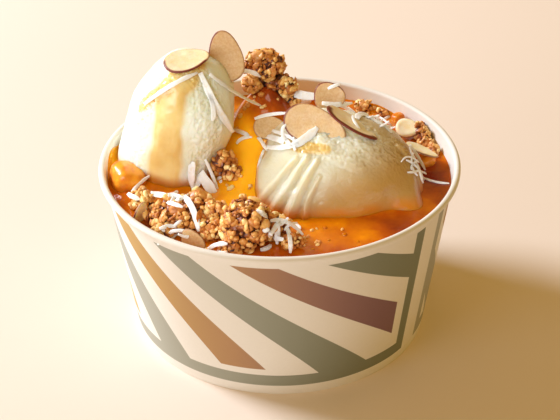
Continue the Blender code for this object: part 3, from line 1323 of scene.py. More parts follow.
def pebble(rng: np.random.Generator, sizes: Sequence[float], steps: int, bumpy: float) -> Shape:
    """An uneven little lump.

    Args:
        rng: the source of its shape.
        sizes: its half sizes in metres.
        steps: how fine it is.
        bumpy: how uneven, as part of its radius.

    Returns:
        The lump round the origin.
    """
    ways, faces = quad_sphere(steps)
    shift = rng.uniform(-50, 50, 3)
    more = 1 + bumpy * rough(ways + shift, 0.8) + 0.5 * bumpy * rough(ways + shift, 0.35)
    return Shape(ways * more[:, None] * np.array(sizes), faces)


def random_turn(rng: np.random.Generator) -> Matrix:
    """A turn in any direction."""
    axis = Vector(rng.normal(size=3)).normalized()
    return Matrix.Rotation(rng.uniform(0, math.tau), 4, axis)


def upright(normal: Vector, spin: float) -> Matrix:
    """A turn that takes +Z to a normal, after a spin about it."""
    turn = normal.to_track_quat("Z", "Y").to_matrix().to_4x4()
    return turn @ Matrix.Rotation(spin, 4, "Z")


def egg_area(half: Array) -> float:
    """The area of an egg with these half sizes, near enough.

    Args:
        half: its half sizes.

    Returns:
        The area, in the square of their unit.
    """
    power = 1.6
    pairs = (half * np.roll(half, 1)) ** power
    return 4 * math.pi * pairs.mean() ** (1 / power)


class Grain(Enum):
    """The kinds of bit in granola: half sizes in millimetres, and how uneven."""

    CRISP = ((0.95, 0.8, 0.7), 0.5)
    FLAKE = ((1.7, 1.2, 0.45), 0.35)
    CRUMB = ((0.6, 0.5, 0.45), 0.4)


@dataclass
class GranolaClump:
    """A clump: a lumpy core, crusted all over with crisps and oat flakes.

    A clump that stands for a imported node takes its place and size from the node.
    """

    name: str
    seed: int
    at: Optional[tuple[Point, Point]] = None  # its middle and half sizes, in millimetres
    share: float = 0.86  # the core's part of the clump's radius
    lump: float = 2.6  # radius of a lump, in millimetres
    valley: float = 0.42  # how deep the gaps between lumps are, as part of the radius
    dark: float = 0.0  # how much more toasted it is than usual
    hidden: float = 0.45  # millimetres below the core's surface where a bit doesn't show
    steps: int = 44

    def __post_init__(self) -> None:
        """Works out its place, its size and its lumps."""
        if self.at is None:
            low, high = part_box(self.name)
            self.middle, self.half = np.array((low + high) / 2), np.array((high - low) / 2)
        else:
            self.middle, self.half = (np.array(part) * MM for part in self.at)
        self.lump_wide = self.lump * MM / self.half.mean()
        rng = np.random.default_rng(self.seed)
        heads = unit(rng.normal(size=(400, 3)))
        self.heads = heads[:1]
        for head in heads:
            if (self.heads @ head).max() < math.cos(min(1.35 * self.lump_wide, 1.5)):
                self.heads = np.append(self.heads, head[None], axis=0)

    def bulge(self, ways: Array) -> Array:
        """How far a direction is up a lump, from 0 in a gap to 1 on top."""
        near = 1 - ways @ self.heads.T
        return np.exp(-2.4 * near / self.lump_wide**2).max(axis=1)

    def reach(self, ways: Array) -> Array:
        """The core's surface in these directions, in metres.

        Args:
            ways: directions from its middle, of length 1.

        Returns:
            One place for each.
        """
        more = self.share * (1 - self.valley * (1 - self.bulge(ways)))
        more = more * (1 + 0.10 * rough(ways, 0.3, self.seed))
        return self.middle + ways * self.half * more[:, None]

    def holds(self, places: Array) -> Array:
        """Whether these places are too deep inside the core to show.

        Args:
            places: points in metres.

        Returns:
            True for each that is too deep.
        """
        out = (places - self.middle) / self.half
        far = np.linalg.norm(out, axis=1)
        surface = (self.reach(out / far[:, None]) - self.middle) / self.half
        return far < np.linalg.norm(surface, axis=1) - self.hidden * MM / self.half.mean()

    def core(self) -> Shape:
        """The core that holds the grains, painted dark as the shade between them.

        Returns:
            The core's shape.
        """
        ways, faces = quad_sphere(self.steps)
        # painted shade: dark all over, darkest in the gaps between the lumps
        toast = 1.1 - 0.25 * self.bulge(ways)
        return Shape(self.reach(ways), faces, {"toast": toast})

    def sprouts(self, kind: Grain, apart: float, rng: np.random.Generator) -> list[Shape]:
        """Grains all over the core.

        Args:
            kind: which kind of bit.
            apart: how far apart they are, in millimetres.
            rng: the source of their places and shapes.

        Returns:
            The bits, in place.
        """
        count = int(egg_area(self.half * self.share / MM) / apart**2)
        turn = math.pi * (3 - math.sqrt(5))
        z = 1 - 2 * (np.arange(count) + 0.5) / count
        angle = turn * np.arange(count) + rng.uniform(0, 6)
        flat = np.sqrt(1 - z * z)
        ways = np.stack([flat * np.cos(angle), flat * np.sin(angle), z], -1)
        jitter = 0.3 * apart / (self.half.mean() / MM)
        ways = unit(ways + rng.normal(scale=jitter, size=ways.shape))
        places, bulges = self.reach(ways), self.bulge(ways)
        sizes, bumpy = kind.value
        made = []
        for way, place, bulge in zip(ways, places, bulges):
            scale = rng.uniform(0.55, 1.45)
            bit = pebble(rng, [s * scale * rng.uniform(0.8, 1.2) * MM for s in sizes], 3, bumpy)
            normal = Vector(way / self.half).normalized()
            spin = upright(normal, rng.uniform(0, 6))
            lean = Matrix.Rotation(rng.normal(scale=0.5), 4, "X")
            lift = normal * (sizes[2] * scale * 0.5 * MM)
            bit = bit.moved(Matrix.Translation(Vector(place) + lift) @ spin @ lean)
            # how toasted each bit is, with painted shade: darker in the gaps between lumps and on
            # its underside
            toast = np.clip(rng.normal(0.26 + self.dark, 0.14) + 0.6 * (1 - bulge), 0, 1)
            top = (bit.points - place) @ np.array(normal) / (sizes[0] * scale * MM)
            bit.values = {"toast": toast + 0.25 * (0.5 - np.clip(top, -0.5, 1))}
            made.append(bit)
        return made


@dataclass
class Granola:
    """All of the granola: the clumps, and loose bits round them."""

    clumps: tuple[GranolaClump, ...]
    heaps: tuple[tuple[float, float, float, float, int], ...]  # x, y, wide, deep (mm), how many
    apart: float = 1.45  # millimetres between crisps
    flake_apart: float = 3.4  # millimetres between flakes
    rim_gap: float = 3.2  # millimetres from the rim where nothing falls

    def loose(self, bed: Bed, rng: np.random.Generator) -> list[Shape]:
        """Crumbs and crisps that have fallen beside the clumps.

        Args:
            bed: what they fall on.
            rng: the source of their places and shapes.

        Returns:
            The bits, in place.
        """
        made = []
        for x, y, wide, deep, count in self.heaps:
            for _ in range(count):
                spot = bed.below((x + rng.normal() * wide) * MM, (y + rng.normal() * deep) * MM)
                kind = Grain.CRISP if rng.uniform() < 0.35 else Grain.CRUMB
                sizes, bumpy = kind.value
                scale = rng.uniform(0.6, 1.15)
                bit = pebble(rng, [s * scale * MM for s in sizes], 4, bumpy)
                toast = np.full(len(bit.points), np.clip(rng.normal(0.22, 0.16), 0, 0.8))
                if spot is None or spot[0].xy.length > RIM_RADIUS - self.rim_gap * MM:
                    continue
                lift = Vector((0, 0, 0.3 * sizes[2] * scale * MM))
                bit = bit.moved(Matrix.Translation(spot[0] + lift) @ random_turn(rng))
                bit.values = {"toast": toast}
                made.append(bit)
        return made

    def build(self, bed: Bed, keep: Callable[[Array], Array]) -> None:
        """Makes the cores and the joined grains.

        Args:
            bed: what loose bits fall on; the clumps are added to it.
            keep: says of points whether something there would show.
        """
        rng = np.random.default_rng(SEED)
        crisps, flakes, nuggets = [], [], []
        kinds = ((Grain.CRISP, self.apart, crisps), (Grain.FLAKE, self.flake_apart, flakes))
        for clump in self.clumps:
            core = clump.core()
            bed.add(core)
            if clump.at is None:
                add_piece(clump.name + "_core", core, GRANOLA_FINISH, clump.name)
            else:
                nuggets.append(core)
            for kind, apart, made in kinds:
                bits = clump.sprouts(kind, apart, rng)
                centres = np.array([bit.points.mean(0) for bit in bits])
                shown = keep(centres)
                for other in self.clumps:
                    if other is not clump:
                        shown &= ~other.holds(centres)
                made.extend(bit for bit, chosen in zip(bits, shown) if chosen)
        bed.add(Shape.joined(crisps + flakes))
        crumbs = Shape.joined(self.loose(bed, rng))
        add_piece("granola_nugget_cores", Shape.joined(nuggets), GRANOLA_FINISH)
        add_piece("granola_crisps", Shape.joined(crisps), GRANOLA_FINISH)
        add_piece("granola_oat_flakes", Shape.joined(flakes), GRANOLA_FINISH)
        lay(bed, "granola_crumbs", crumbs, GRANOLA_FINISH)


# ---------------------------------------------------------------- almonds


@dataclass
class AlmondSlice:
    """A thin slice of almond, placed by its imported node."""

    number: int
    skin: tuple[float, float] = (0.0, 0.0)  # degrees round the outline where skin shows
    skin_wide: float = 0.10  # part of the radius
    skin_fade: float = 14.0  # degrees over which the skin ends
    curl: float = 0.5  # millimetres that the middle dips
    wet: float = 0.0  # how much sauce has soaked into it, up to 1
    shift: Point = (0.0, 0.0, 0.0)  # millimetres that it lies off its node
    trim: float = 1.0  # its size as part of its node's
    thickness: float = 0.9  # in millimetres
    taper: float = 0.24  # how much narrower it is towards its point
    rings: int = 12
    steps: int = 72

    def axes(self) -> tuple[Matrix, float, float]:
        """Finds how the node lies.

        Returns:
            A matrix with X along the slice to its pointed end and Z out of its face, and
            the slice's length and width in metres.
        """
        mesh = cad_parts[self.name].data
        points = np.array([vertex.co for vertex in mesh.vertices])
        middle = points.mean(0)
        _, _, rows = np.linalg.svd(points - middle, full_matrices=False)
        along, _, face = rows
        flat = (points - middle) @ rows.T
        if (flat[:, 0] * flat[:, 1] ** 2).sum() > 0:
            along = -along
        if face @ np.array((0.0, -0.6, 0.8)) < 0:
            face = -face
        side = np.cross(face, along)
        spans = [np.ptp((points - middle) @ way) for way in (along, side)]
        ends = (points - middle) @ along
        centre = middle + along * (ends.max() + ends.min()) / 2
        matrix = Matrix((along, side, face)).transposed().to_4x4()
        matrix.translation = Vector(centre) + Vector(self.shift) * MM
        return matrix, spans[0] * self.trim, spans[1] * self.trim

    @property
    def name(self) -> str:
        """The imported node's name."""
        return f"almond_slice_{self.number:02d}"

    def shape(self) -> Shape:
        """The slice: two slightly dished faces and a rounded edge.

        Returns:
            The slice's shape.
        """
        matrix, length, width = self.axes()
        turn = np.linspace(0, math.tau, 360)
        widest = np.ptp(np.sin(turn) * (1 - self.taper * np.cos(turn)))
        half_x, half_y = length / 2, width / widest
        thick = self.thickness * MM / 2
        reach = np.linspace(0, 1, self.rings + 1) ** 0.7
        edge = np.radians((65, 40, 15, -15, -40, -65))
        inset = thick / half_y
        rows = [((1 - inset) * r, thick) for r in reach]
        rows += [(1 - inset + inset * math.cos(a), thick * math.sin(a)) for a in edge]
        rows += [((1 - inset) * r, -thick) for r in reach[::-1]]
        angle = np.linspace(0, math.tau, self.steps, endpoint=False)
        share, level = spun(rows, self.steps)
        ways = np.stack([np.cos(angle), np.sin(angle), 0 * angle + self.number], -1)
        uneven = 1 + 0.03 * rough(ways, 0.7)
        x = half_x * share * np.cos(angle) * uneven
        y = half_y * share * np.sin(angle) * (1 - self.taper * np.cos(angle)) * uneven
        dish = self.curl * MM * (share**2 * (0.7 + 0.3 * np.cos(2 * angle)) - 0.35)
        points = np.stack([x, y, level * (1.05 - 0.25 * share**6) + dish], -1).reshape(-1, 3)
        points[:, 2] += 0.08 * MM * rough(points, 2.2 * MM, self.number)
        start, end = self.skin
        past = (np.degrees(angle) - start) % 360
        fade = self.skin_fade
        within = smooth(past, 0, fade) * (1 - smooth(past, end - start - fade, end - start))
        shown = within * smooth(share, 1 - self.skin_wide, 1 - self.skin_wide * 0.55)
        values = {
            "rim": share.reshape(-1),
            "skin": shown.reshape(-1),
            "wet": np.full(share.size, self.wet),
        }
        return Shape(points, grid_faces(len(rows), self.steps), values).moved(matrix)

    def build(self, bed: Bed) -> None:
        """Makes the slice's piece and adds it to the bed."""
        lay(bed, self.name + "_flesh", self.shape(), ALMOND_FINISH, self.name)


# ---------------------------------------------------------------- fruit


@dataclass
class FruitPiece:
    """A soft block of fruit with worn corners."""

    name: str
    middle: Point
    half: Point
    tilt: Point
    nodes: tuple[str, ...] = ()  # the CAD nodes that it replaces
    seed: int = 4
    steps: int = 24

    def shape(self) -> Shape:
        """The block, lumpy and pressed clear of the cup's wall.

        Returns:
            The piece's shape.
        """
        ways, faces = quad_sphere(self.steps)
        more = 1 + 0.09 * layers(ways, 0.9, 3, self.seed)
        block = ways / from_middle(ways, 3) * more[:, None] * np.array(self.half) * MM
        shape = Shape(block, faces).moved(placing(self.middle, self.tilt))
        limit = inner_radius(shape.points[:, 2]) - 0.15 * MM
        away = np.hypot(shape.points[:, 0], shape.points[:, 1])
        shape.points[:, :2] *= np.minimum(1, limit / away)[:, None]
        return shape

    def build(self, bed: Bed) -> None:
        """Makes the piece and adds it to the bed."""
        lay(bed, self.name, self.shape(), FRUIT_FINISH, *self.nodes)


# ---------------------------------------------------------------- coconut

LAY = Vector((0.0, 0.848, -0.53))  # the way shreds are dropped on: from above and in front
DROP = 0.08  # metres that they are dropped from
SAG = 2.5 * MM  # how far a shred follows a step in the food
BAND = np.array((  # a shred's cross-section, as parts of half its width and half its thickness
    (-1.0, 0.0), (-0.8, 0.8), (-0.3, 1.0), (0.3, 1.0), (0.8, 0.8),
    (1.0, 0.0), (0.8, -0.8), (0.3, -1.0), (-0.3, -1.0), (-0.8, -0.8),
))
TIP = 0.15 * MM  # how far a shred's closed ends reach on


def windowed(values: Array, half: int, pick: Callable[[Array], Array]) -> Array:
    """Each value replaced by a pick from those up to half steps away."""
    padded = np.pad(values, ((half, half),) + ((0, 0),) * (values.ndim - 1), mode="edge")
    return np.array([pick(padded[i : i + 2 * half + 1]) for i in range(len(values))])


@dataclass(frozen=True)
class Shred:
    """A flat ribbon of coconut through a few points, in millimetres."""

    points: tuple[Point, ...]
    wide: float = 2.0
    roll: float = 0.0  # degrees that it is turned about its length
    thick: float = 0.45
    tips: tuple[float, float] = (0.75, 0.55)  # width at its ends, as part of its own
    samples: int = 20  # how many steps it has along its length
    seed: int = 0

    def line(self) -> Array:
        """Samples along a smooth curve through the points, in metres.

        Returns:
            The samples.
        """
        knots = np.array(self.points, float) * MM
        at = np.linspace(0, 1, self.samples)
        place = np.linspace(0, 1, len(knots))
        total = np.zeros((self.samples, 3))
        for i, knot in enumerate(knots):
            weight = np.ones(self.samples)
            for j in range(len(knots)):
                if j != i:
                    weight *= (at - place[j]) / (place[i] - place[j])
            total += weight[:, None] * knot
        return total

    def laid(self, bed: Bed) -> tuple[Array, Array]:
        """Drops the line onto the food.

        Args:
            bed: the food.

        Returns:
            The line's points, bridging small gaps, and the surface's normals there.
        """
        line = self.line()
        depths, normals = [], []
        for place in line:
            start = Vector(place) - LAY * DROP
            met = bed.hit(start, LAY)
            depths.append(np.nan if met is None else (met[0] - start).dot(LAY) - DROP)
            normals.append((0, -0.5, 0.86) if met is None else tuple(met[1]))
        missed = np.isnan(depths)
        depths = np.where(missed, 0 if missed.all() else np.nanmin(depths), depths)
        usual = np.median(depths)
        held = np.clip(depths, usual - SAG, usual + SAG)
        even = windowed(windowed(held, 2, np.min), 3, np.mean)
        even = np.minimum(even, np.linspace(even[0], even[-1], len(even)))
        usual_way = windowed(np.array(normals), 4, lambda near: near.mean(0))
        up = unit(usual_way - 0.9 * np.array(LAY))
        lifted = line + np.array(LAY) * even[:, None] + up * (0.5 * self.thick + 0.1) * MM
        return lifted, up

    def shape(self, bed: Bed) -> Shape:
        """The ribbon with rounded edges and worn ends.

        Args:
            bed: the food that it lies on.

        Returns:
            The shred's shape.
        """
        line, up = self.laid(bed)
        along = unit(np.gradient(line, axis=0))
        flat = unit(np.cross(up, along))
        out = np.cross(along, flat)
        lean = math.radians(self.roll)
        side = flat * math.cos(lean) + out * math.sin(lean)
        up = out * math.cos(lean) - flat * math.sin(lean)
        at = np.linspace(0, 1, len(line))
        first, last = self.tips
        full = np.minimum(
            first + (1 - first) * smooth(at, 0, 0.25), last + (1 - last) * smooth(1 - at, 0, 0.25)
        )
        full *= 1 + 0.12 * rough(line, 1.8 * MM, self.seed)
        across, level = BAND.T
        half = 0.5 * self.wide * MM
        cup = 0.10 * self.wide * MM
        rows = []
        for place, way, top, size in zip(line, side, up, full):
            height = level * 0.5 * self.thick * MM * min(1, 1.6 * size)
            height += cup * (across**2 - 0.4) * size
            rows.append(place + across[:, None] * way * half * size + height[:, None] * top)
        start = np.tile(line[0] - along[0] * TIP, (len(BAND), 1))
        end = np.tile(line[-1] + along[-1] * TIP, (len(BAND), 1))
        points = np.array([start, *rows, end])
        return Shape(points.reshape(-1, 3), grid_faces(len(points), len(BAND)))


@dataclass(frozen=True)
class Sprinkle:
    """Short shreds strewn round a point, in millimetres."""

    middle: Point
    spread: Point
    count: int
    length: tuple[float, float] = (4.0, 9.0)
    wide: tuple[float, float] = (0.9, 1.6)

    def shreds(self, rng: np.random.Generator) -> list[Shred]:
        """Shreds at random places and turns near the point.

        Args:
            rng: the source of their places and turns.

        Returns:
            The shreds.
        """
        made = []
        for _ in range(self.count):
            middle = np.array(self.middle) + rng.normal(size=3) * self.spread
            way = rng.normal(size=3)
            way /= np.linalg.norm(way)
            bend = rng.normal(size=3) * 0.12
            reach = rng.uniform(*self.length) / 2
            ends = (middle - way * reach, middle + bend * reach * 2, middle + way * reach)
            points = tuple(tuple(end) for end in ends)
            wide, seed = rng.uniform(*self.wide), int(rng.integers(1000))
            made.append(Shred(points, wide, rng.uniform(-25, 25), 0.42, samples=14, seed=seed))
        return made


@dataclass
class CoconutShreds:
    """All of the coconut, as one topping laid over the rest."""

    shreds: tuple[Shred, ...]
    sprinkles: tuple[Sprinkle, ...]

    def build(self, bed: Bed) -> None:
        """Makes the coconut's pieces.

        Args:
            bed: the food that it lies on.
        """
        rng = np.random.default_rng(SEED + 1)
        large = [replace(shred, seed=seed).shape(bed) for seed, shred in enumerate(self.shreds, 1)]
        add_piece("coconut_ribbons", Shape.joined(large), COCONUT_FINISH)
        small = [shred for sprinkle in self.sprinkles for shred in sprinkle.shreds(rng)]
        add_piece("coconut_shreds", Shape.joined([s.shape(bed) for s in small]), COCONUT_FINISH)


@dataclass(frozen=True)
class Bubbles:
    """Little bubbles that float on the sauce."""

    places: tuple[tuple[float, float, float], ...]  # x, y, radius in millimetres

    def build(self, bed: Bed) -> None:
        """Makes the bubbles as one piece of small domes.

        Args:
            bed: the food that they lie on.
        """
        made = []
        for x, y, radius in self.places:
            met = bed.below(x * MM, y * MM)
            if met is None:
                continue
            ways, faces = quad_sphere(6)
            low = Vector((0, 0, -0.35 * radius * MM))
            dome = Shape(ways * radius * MM, faces).moved(Matrix.Translation(met[0] + low))
            dome.values = {"deep": 0.30 + 0.3 * (1 - ways[:, 2])}
            made.append(dome)
        add_piece("sauce_bubbles", Shape.joined(made), SAUCE_FINISH)


RIBBONS = (
    Shred(((-25, 1, 90), (-20, -3, 80), (-15, 0, 69)), 2.2, 15),
    Shred(((-22, -2, 84), (-21, -4, 79), (-21.5, -5, 76)), 1.6),
    Shred(((-22, 2, 89), (-14, 6, 80), (-6, 14, 71)), 1.5, -10),
    Shred(((-43, -1, 80), (-34, -2, 87), (-26, 1, 90)), 1.5),
    Shred(((-14, 18, 81), (-10, 19, 81), (-6, 21, 78)), 1.4),
    Shred(((-28, -10, 64), (-28.5, -11, 61), (-28.5, -13, 57)), 2.4, 20),
    Shred(((-26, -12, 61), (-27, -15, 60), (-28, -20, 59)), 3.2, 15, tips=(1.0, 0.4)),
    Shred(((-26, -12, 61), (-24, -14, 59), (-21, -17, 56)), 3.4, 25, tips=(1.0, 0.8)),
    Shred(((-24, -7, 63), (-22, -8, 58), (-20, -11, 54)), 1.1),
    Shred(((-41, -20, 58), (-36, -23, 59), (-30, -28, 61)), 2.1),
    Shred(((-30, -28, 62), (-27, -34, 61), (-25, -39, 56)), 2.0, 10),
    Shred(((-35, -28, 62), (-33, -28, 62), (-30, -30, 62)), 1.9, 20),
    Shred(((-35, -30, 61), (-33, -31, 61), (-30, -33, 61)), 1.6, -20),
    Shred(((-48, -15, 55), (-46, -17, 55), (-44, -18, 55)), 1.5),
    Shred(((-47, -14, 55), (-45, -10, 56), (-42, -7, 57)), 1.1, tips=(1.6, 0.6)),
    Shred(((-37, -39, 57), (-34, -39, 58), (-32, -40, 58)), 1.3),
    Shred(((-34, -40, 56), (-32, -40, 57), (-29, -40, 57)), 1.2),
    Shred(((-22, -46, 54), (-19, -45, 55), (-16, -46, 56)), 1.4),
    Shred(((-19, -47, 54), (-18, -48, 54), (-16, -48, 54)), 1.2),
    Shred(((-6, -47, 54), (-4, -46, 54), (-3, -44, 54)), 1.5),
    Shred(((-3, -38, 59), (2, -34, 56), (7, -37, 53)), 1.3),
    Shred(((-1, -39, 59), (-1, -38, 56), (-1, -42, 53)), 1.8),
    Shred(((2, -35, 55), (3, -41, 54), (3, -47, 53)), 1.4),
    Shred(((-3, -43, 57), (-1, -37, 57), (1, -33, 55)), 1.5, -10),
    Shred(((-7, -43, 66), (-5, -44, 65), (-4, -44, 64)), 1.7),
    Shred(((-8, 9, 64), (-6, -2, 67), (-4, -8, 67)), 1.2),
    Shred(((-5, -8, 67), (-6, -9, 64), (-7, -9, 60)), 1.1),
    Shred(((-15, 14, 62), (-12, 10, 63), (-10, 8, 63)), 1.3),
    Shred(((-14, 8, 60), (-12, 8, 62), (-9, 7, 63)), 1.2),
    Shred(((-4, -1, 68), (-1, -8, 71), (3, -12, 71)), 2.0),
    Shred(((-4, -8, 68), (1, -12, 70), (6, -13, 72)), 1.9, -15),
    Shred(((4, -13, 71), (8, -12, 73), (12, -10, 76)), 2.6, 10),
    Shred(((-2, -1, 70), (2, -8, 72), (6, -12, 72)), 1.3),
    Shred(((-8, 12, 67), (-3, 13, 68), (3, 12, 69)), 1.2),
    Shred(((5, 22, 71), (9, 21, 71), (13, 20, 71)), 2.8),
    Shred(((7, 10, 74), (9, 9, 75), (12, 8, 76)), 1.9),
    Shred(((14, 5, 77), (19, 4, 77), (24, 5, 77)), 1.6, 10),
    Shred(((24, 5, 78), (26, 4, 76), (26, 4, 74)), 1.6, -20),
    Shred(((16, 9, 80), (18, 9, 81), (20, 10, 81)), 1.1),
    Shred(((25, -3, 75), (26, 0, 75), (29, 2, 74)), 2.3),
    Shred(((27, 3, 74), (33, 2, 72), (39, -2, 68)), 1.2),
    Shred(((29, 2, 73), (33, -1, 72), (37, -1, 69)), 1.1, 15),
    Shred(((21, 8, 77), (24, 7, 76), (27, 5, 75)), 1.4),
    Shred(((42, -4, 65), (44, -7, 60), (47, -6, 54)), 1.0),
    Shred(((47, -5, 54), (51, -6, 53), (55, -7, 53)), 0.9),
    Shred(((43, 0, 64), (46, -2, 60), (48, -3, 56)), 1.1),
    Shred(((44, -8, 61), (45, -9, 58), (46, -8, 54)), 0.9),
    Shred(((4, 24, 69), (8, 23, 69), (11, 22, 70)), 2.0, 20),
)
SPRINKLES = (
    Sprinkle((33, -1, 73), (4.5, 2.5, 1.5), 14, (3, 7), (0.6, 1.1)),
    Sprinkle((44, -4, 61), (1.6, 1.6, 3.5), 7, (3, 7), (0.5, 0.9)),
    Sprinkle((0, -38, 55), (4.0, 3.0, 1.0), 6, (2.5, 5), (0.8, 1.4)),
    Sprinkle((-33, -29, 61), (2.5, 2.0, 1.0), 4, (2, 4), (1.0, 1.6)),
    Sprinkle((-34, -40, 56), (3.0, 1.5, 1.0), 5, (2, 4), (0.7, 1.2)),
    Sprinkle((-16, -10, 56), (3.0, 3.0, 0.5), 2, (1.5, 2.5), (1.0, 1.5)),
    Sprinkle((1, -9, 70), (3.0, 3.0, 1.0), 3, (4, 7), (0.9, 1.3)),
)


NUGGETS = (  # middles and half sizes of smaller clumps, in millimetres
    (-20.5, -30.5, 57.5, 4.6, 4.2, 4.2),
    (-21.5, -38.5, 55.8, 4.0, 3.6, 3.6),
    (-43.5, -21.5, 56.4, 4.2, 4.2, 3.6),
    (-36.0, -37.5, 54.8, 4.0, 3.2, 3.0),
    (-1.0, -36.5, 55.6, 4.2, 4.2, 4.2),
    (3.5, -42.5, 54.0, 3.0, 2.6, 2.4),
    (-25.5, -22.0, 57.0, 4.0, 3.6, 3.6),
    (-15.0, -46.0, 54.6, 3.6, 3.0, 3.2),
    (-23.0, 1.5, 61.5, 3.0, 3.0, 3.0),
    (-15.5, -6.0, 57.4, 3.0, 3.0, 3.0),
    (2.6, 22.0, 74.0, 3.4, 3.2, 3.2),
    (4.0, 23.5, 68.0, 3.4, 3.2, 3.0),
    (48.0, 25.0, 55.0, 3.0, 3.6, 3.0),
    (-9.0, 21.5, 75.0, 3.0, 2.8, 2.8),
    (30.0, 45.0, 53.2, 3.4, 2.4, 2.2),
    (36.5, 41.0, 52.8, 2.6, 2.2, 2.0),
    (49.5, 21.0, 53.4, 2.8, 3.6, 2.6),
    (51.5, 14.0, 53.2, 2.2, 2.4, 2.2),
)
CLUMPS = (
    GranolaClump("granola_peak", 1, dark=0.08),
    GranolaClump("granola_back", 2, dark=0.46),
    GranolaClump("granola_middle", 3, dark=0.16),
    GranolaClump("granola_front", 4, dark=0.07),
    GranolaClump("granola_left", 5, dark=0.13),
    *(
        GranolaClump(f"nugget_{index}", 10 + index, (place[:3], place[3:]), steps=22)
        for index, place in enumerate(NUGGETS)
    ),
)
HEAPS = (  # x, y, wide and deep in millimetres, and how many bits
    (4, -38, 6, 3, 34),
    (-16, -44, 5, 2, 12),
    (-10, 17, 2.6, 3, 14),
    (6, 20, 4, 4, 12),
    (32, 44, 5, 2, 10),
    (50, 22, 2, 3, 6),
    (-44, -22, 3, 4, 10),
    (-16, -8, 3, 3, 8),
)
ALMONDS = (
    AlmondSlice(1, skin=(160, 335), skin_wide=0.12, wet=0.5),
    AlmondSlice(2, skin=(5, 165), skin_wide=0.08, wet=1.0),
    AlmondSlice(3, skin=(135, 265), skin_wide=0.06, wet=0.85, shift=(-0.1, -0.5, 0.6)),
    AlmondSlice(4, skin=(170, 368), skin_wide=0.26, wet=0.2, shift=(-0.8, -6.2, 1.4)),
    AlmondSlice(5, skin=(15, 195), skin_wide=0.08, wet=1.0),
    AlmondSlice(6, wet=1.0),
    AlmondSlice(7, skin=(20, 120), skin_wide=0.06, shift=(0.0, 0.0, 0.4), trim=0.74,
                thickness=2.2),
    AlmondSlice(8, shift=(0.0, -1.5, 0.0)),
    AlmondSlice(9, skin=(60, 200), skin_wide=0.05, shift=(-0.2, -1.0, -1.2), trim=0.9),
    AlmondSlice(10, skin=(20, 160), wet=1.0, shift=(-0.6, 0.0, -1.6), trim=0.86),
)
FRUITS = (
    FruitPiece("fruit_piece_left_flesh", (-49.4, -6.2, 55.4), (5.4, 6.2, 4.6), (0, 14, 20),
               ("fruit_piece_left",)),
    FruitPiece("fruit_piece_right_flesh", (48.4, 7.6, 53.4), (3.2, 3.0, 2.2), (8, -6, 30),
               ("fruit_piece_right",), 6),
    FruitPiece("fruit_bit_back", (10.5, 44.0, 57.0), (3.7, 2.6, 2.4), (0, 8, 10), (), 7),
    FruitPiece("fruit_bit_wall", (41.0, 34.0, 55.0), (2.2, 2.0, 1.6), (0, 0, 30), (), 8),
)
BUBBLES = (  # x, y and radius in millimetres
    (14, -32, 0.8), (20, -36, 0.9), (15, -39, 0.6), (24, -40, 0.5), (10, -44, 0.6),
)


# ---------------------------------------------------------------- the studio


@dataclass(frozen=True)
class Lamp:
    """A round soft lamp that shines at the cup."""

    name: str
    way: Point  # the direction of the lamp from the cup
    power: float  # in watts
    colour: Colour
    far: float = 1.4  # its distance in metres
    wide: float = 0.9  # its width in metres

    def build(self) -> bpy.types.Object:
        """Places the lamp.

        Returns:
            The lamp's object.
        """
        data = bpy.data.lights.new(self.name, "AREA")
        data.shape = "DISK"
        data.size = self.wide
        data.energy = self.power
        data.color = self.colour
        made = new_object(self.name, data)
        towards = Vector(self.way).normalized()
        made.matrix_world = Matrix.Translation(towards * self.far) @ upright(towards, 0.0)
        return made


WINDOW = Lamp("window", (-0.73, 0.345, 0.59), 27.0, (0.92, 0.98, 1.1), 1.5, 0.52)
CARD = Lamp("card", (-0.755, -0.633, 0.17), 6.2, (0.92, 0.98, 1.1))
FOOD_CARD = Lamp("food_card", (-0.40, -0.80, 0.46), 11.2, (0.84, 1.0, 1.1))
SAUCE_CARD = Lamp("sauce_card", (0.1, -0.5, 0.85), 6.5, (1.0, 0.92, 0.8))


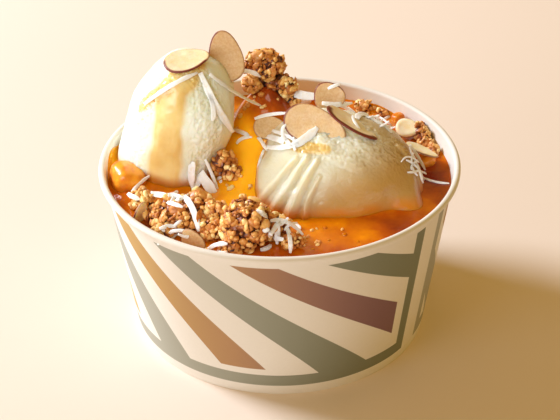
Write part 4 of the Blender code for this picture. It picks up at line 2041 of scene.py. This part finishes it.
@dataclass
class Studio:
    """The camera, the light and the floor."""

    eye: Point = (0.0, -0.475175, 0.336398)  # where the camera is
    down: float = 32.03  # degrees that the camera looks down
    lean: float = -0.444  # degrees that it leans
    lens: float = 108.26  # in millimetres
    around: Colour = (0.45, 0.28, 0.075)  # the light of the room
    floor_wide: float = 4.0

    def camera(self) -> None:
        """Places the camera, in front and above."""
        data = bpy.data.cameras.new("camera")
        data.lens = self.lens
        data.sensor_width = 36.0
        data.clip_start = 0.01
        made = new_object("camera", data)
        pitch = Matrix.Rotation(math.radians(90 - self.down), 4, "X")
        roll = Matrix.Rotation(math.radians(self.lean), 4, "Z")
        made.matrix_world = Matrix.Translation(self.eye) @ pitch @ roll
        bpy.context.scene.camera = made

    def fill_food(self) -> None:
        """Weak lamps for the food alone, which stand for the light that it scatters inside."""
        sauce = [name for name in FOOD if name.startswith("fruit_sauce")]
        for card, names in ((FOOD_CARD, FOOD), (SAUCE_CARD, sauce)):
            lit = bpy.data.collections.new(card.name)
            for name in names:
                lit.objects.link(bpy.data.objects[name])
            card.build().light_linking.receiver_collection = lit

    def light(self) -> None:
        """One soft lamp behind on the left, a weak one in front, and warm light all round."""
        WINDOW.build()
        CARD.build()
        world = bpy.data.worlds.new("room")
        bpy.context.scene.world = world
        world.use_nodes = True
        world.node_tree.nodes["Background"].inputs["Color"].default_value = (*self.around, 1.0)
        bpy.context.scene.view_settings.view_transform = "Standard"

    def floor(self) -> None:
        """Lays the floor."""
        half = self.floor_wide / 2
        mesh = bpy.data.meshes.new("floor")
        corners = [(-half, -half, 0), (half, -half, 0), (half, half, 0), (-half, half, 0)]
        mesh.from_pydata(corners, [], [(0, 1, 2, 3)])
        mesh.materials.append(Floor("floor_surface", Slot.PAPER).material())
        made = new_object("floor", mesh)

    def build(self) -> None:
        """Sets up the whole studio."""
        self.camera()
        self.light()
        self.floor()


# ---------------------------------------------------------------- the whole


def main() -> None:
    """Builds the cup, what is in it and the studio."""
    studio = Studio()
    studio.build()
    bed = Bed()
    sauce = FruitSauce((SCOOP_LEFT, SCOOP_RIGHT))
    PaperCup().build()
    for scoop in sauce.scoops:
        scoop.build(bed, sauce.height)
    sauce.build(bed)
    Granola(CLUMPS, HEAPS).build(bed, sauce.shows)
    for topping in (*ALMONDS, *FRUITS, CoconutShreds(RIBBONS, SPRINKLES), Bubbles(BUBBLES)):
        topping.build(bed)
    studio.fill_food()


if __name__ == "__main__":
    main()
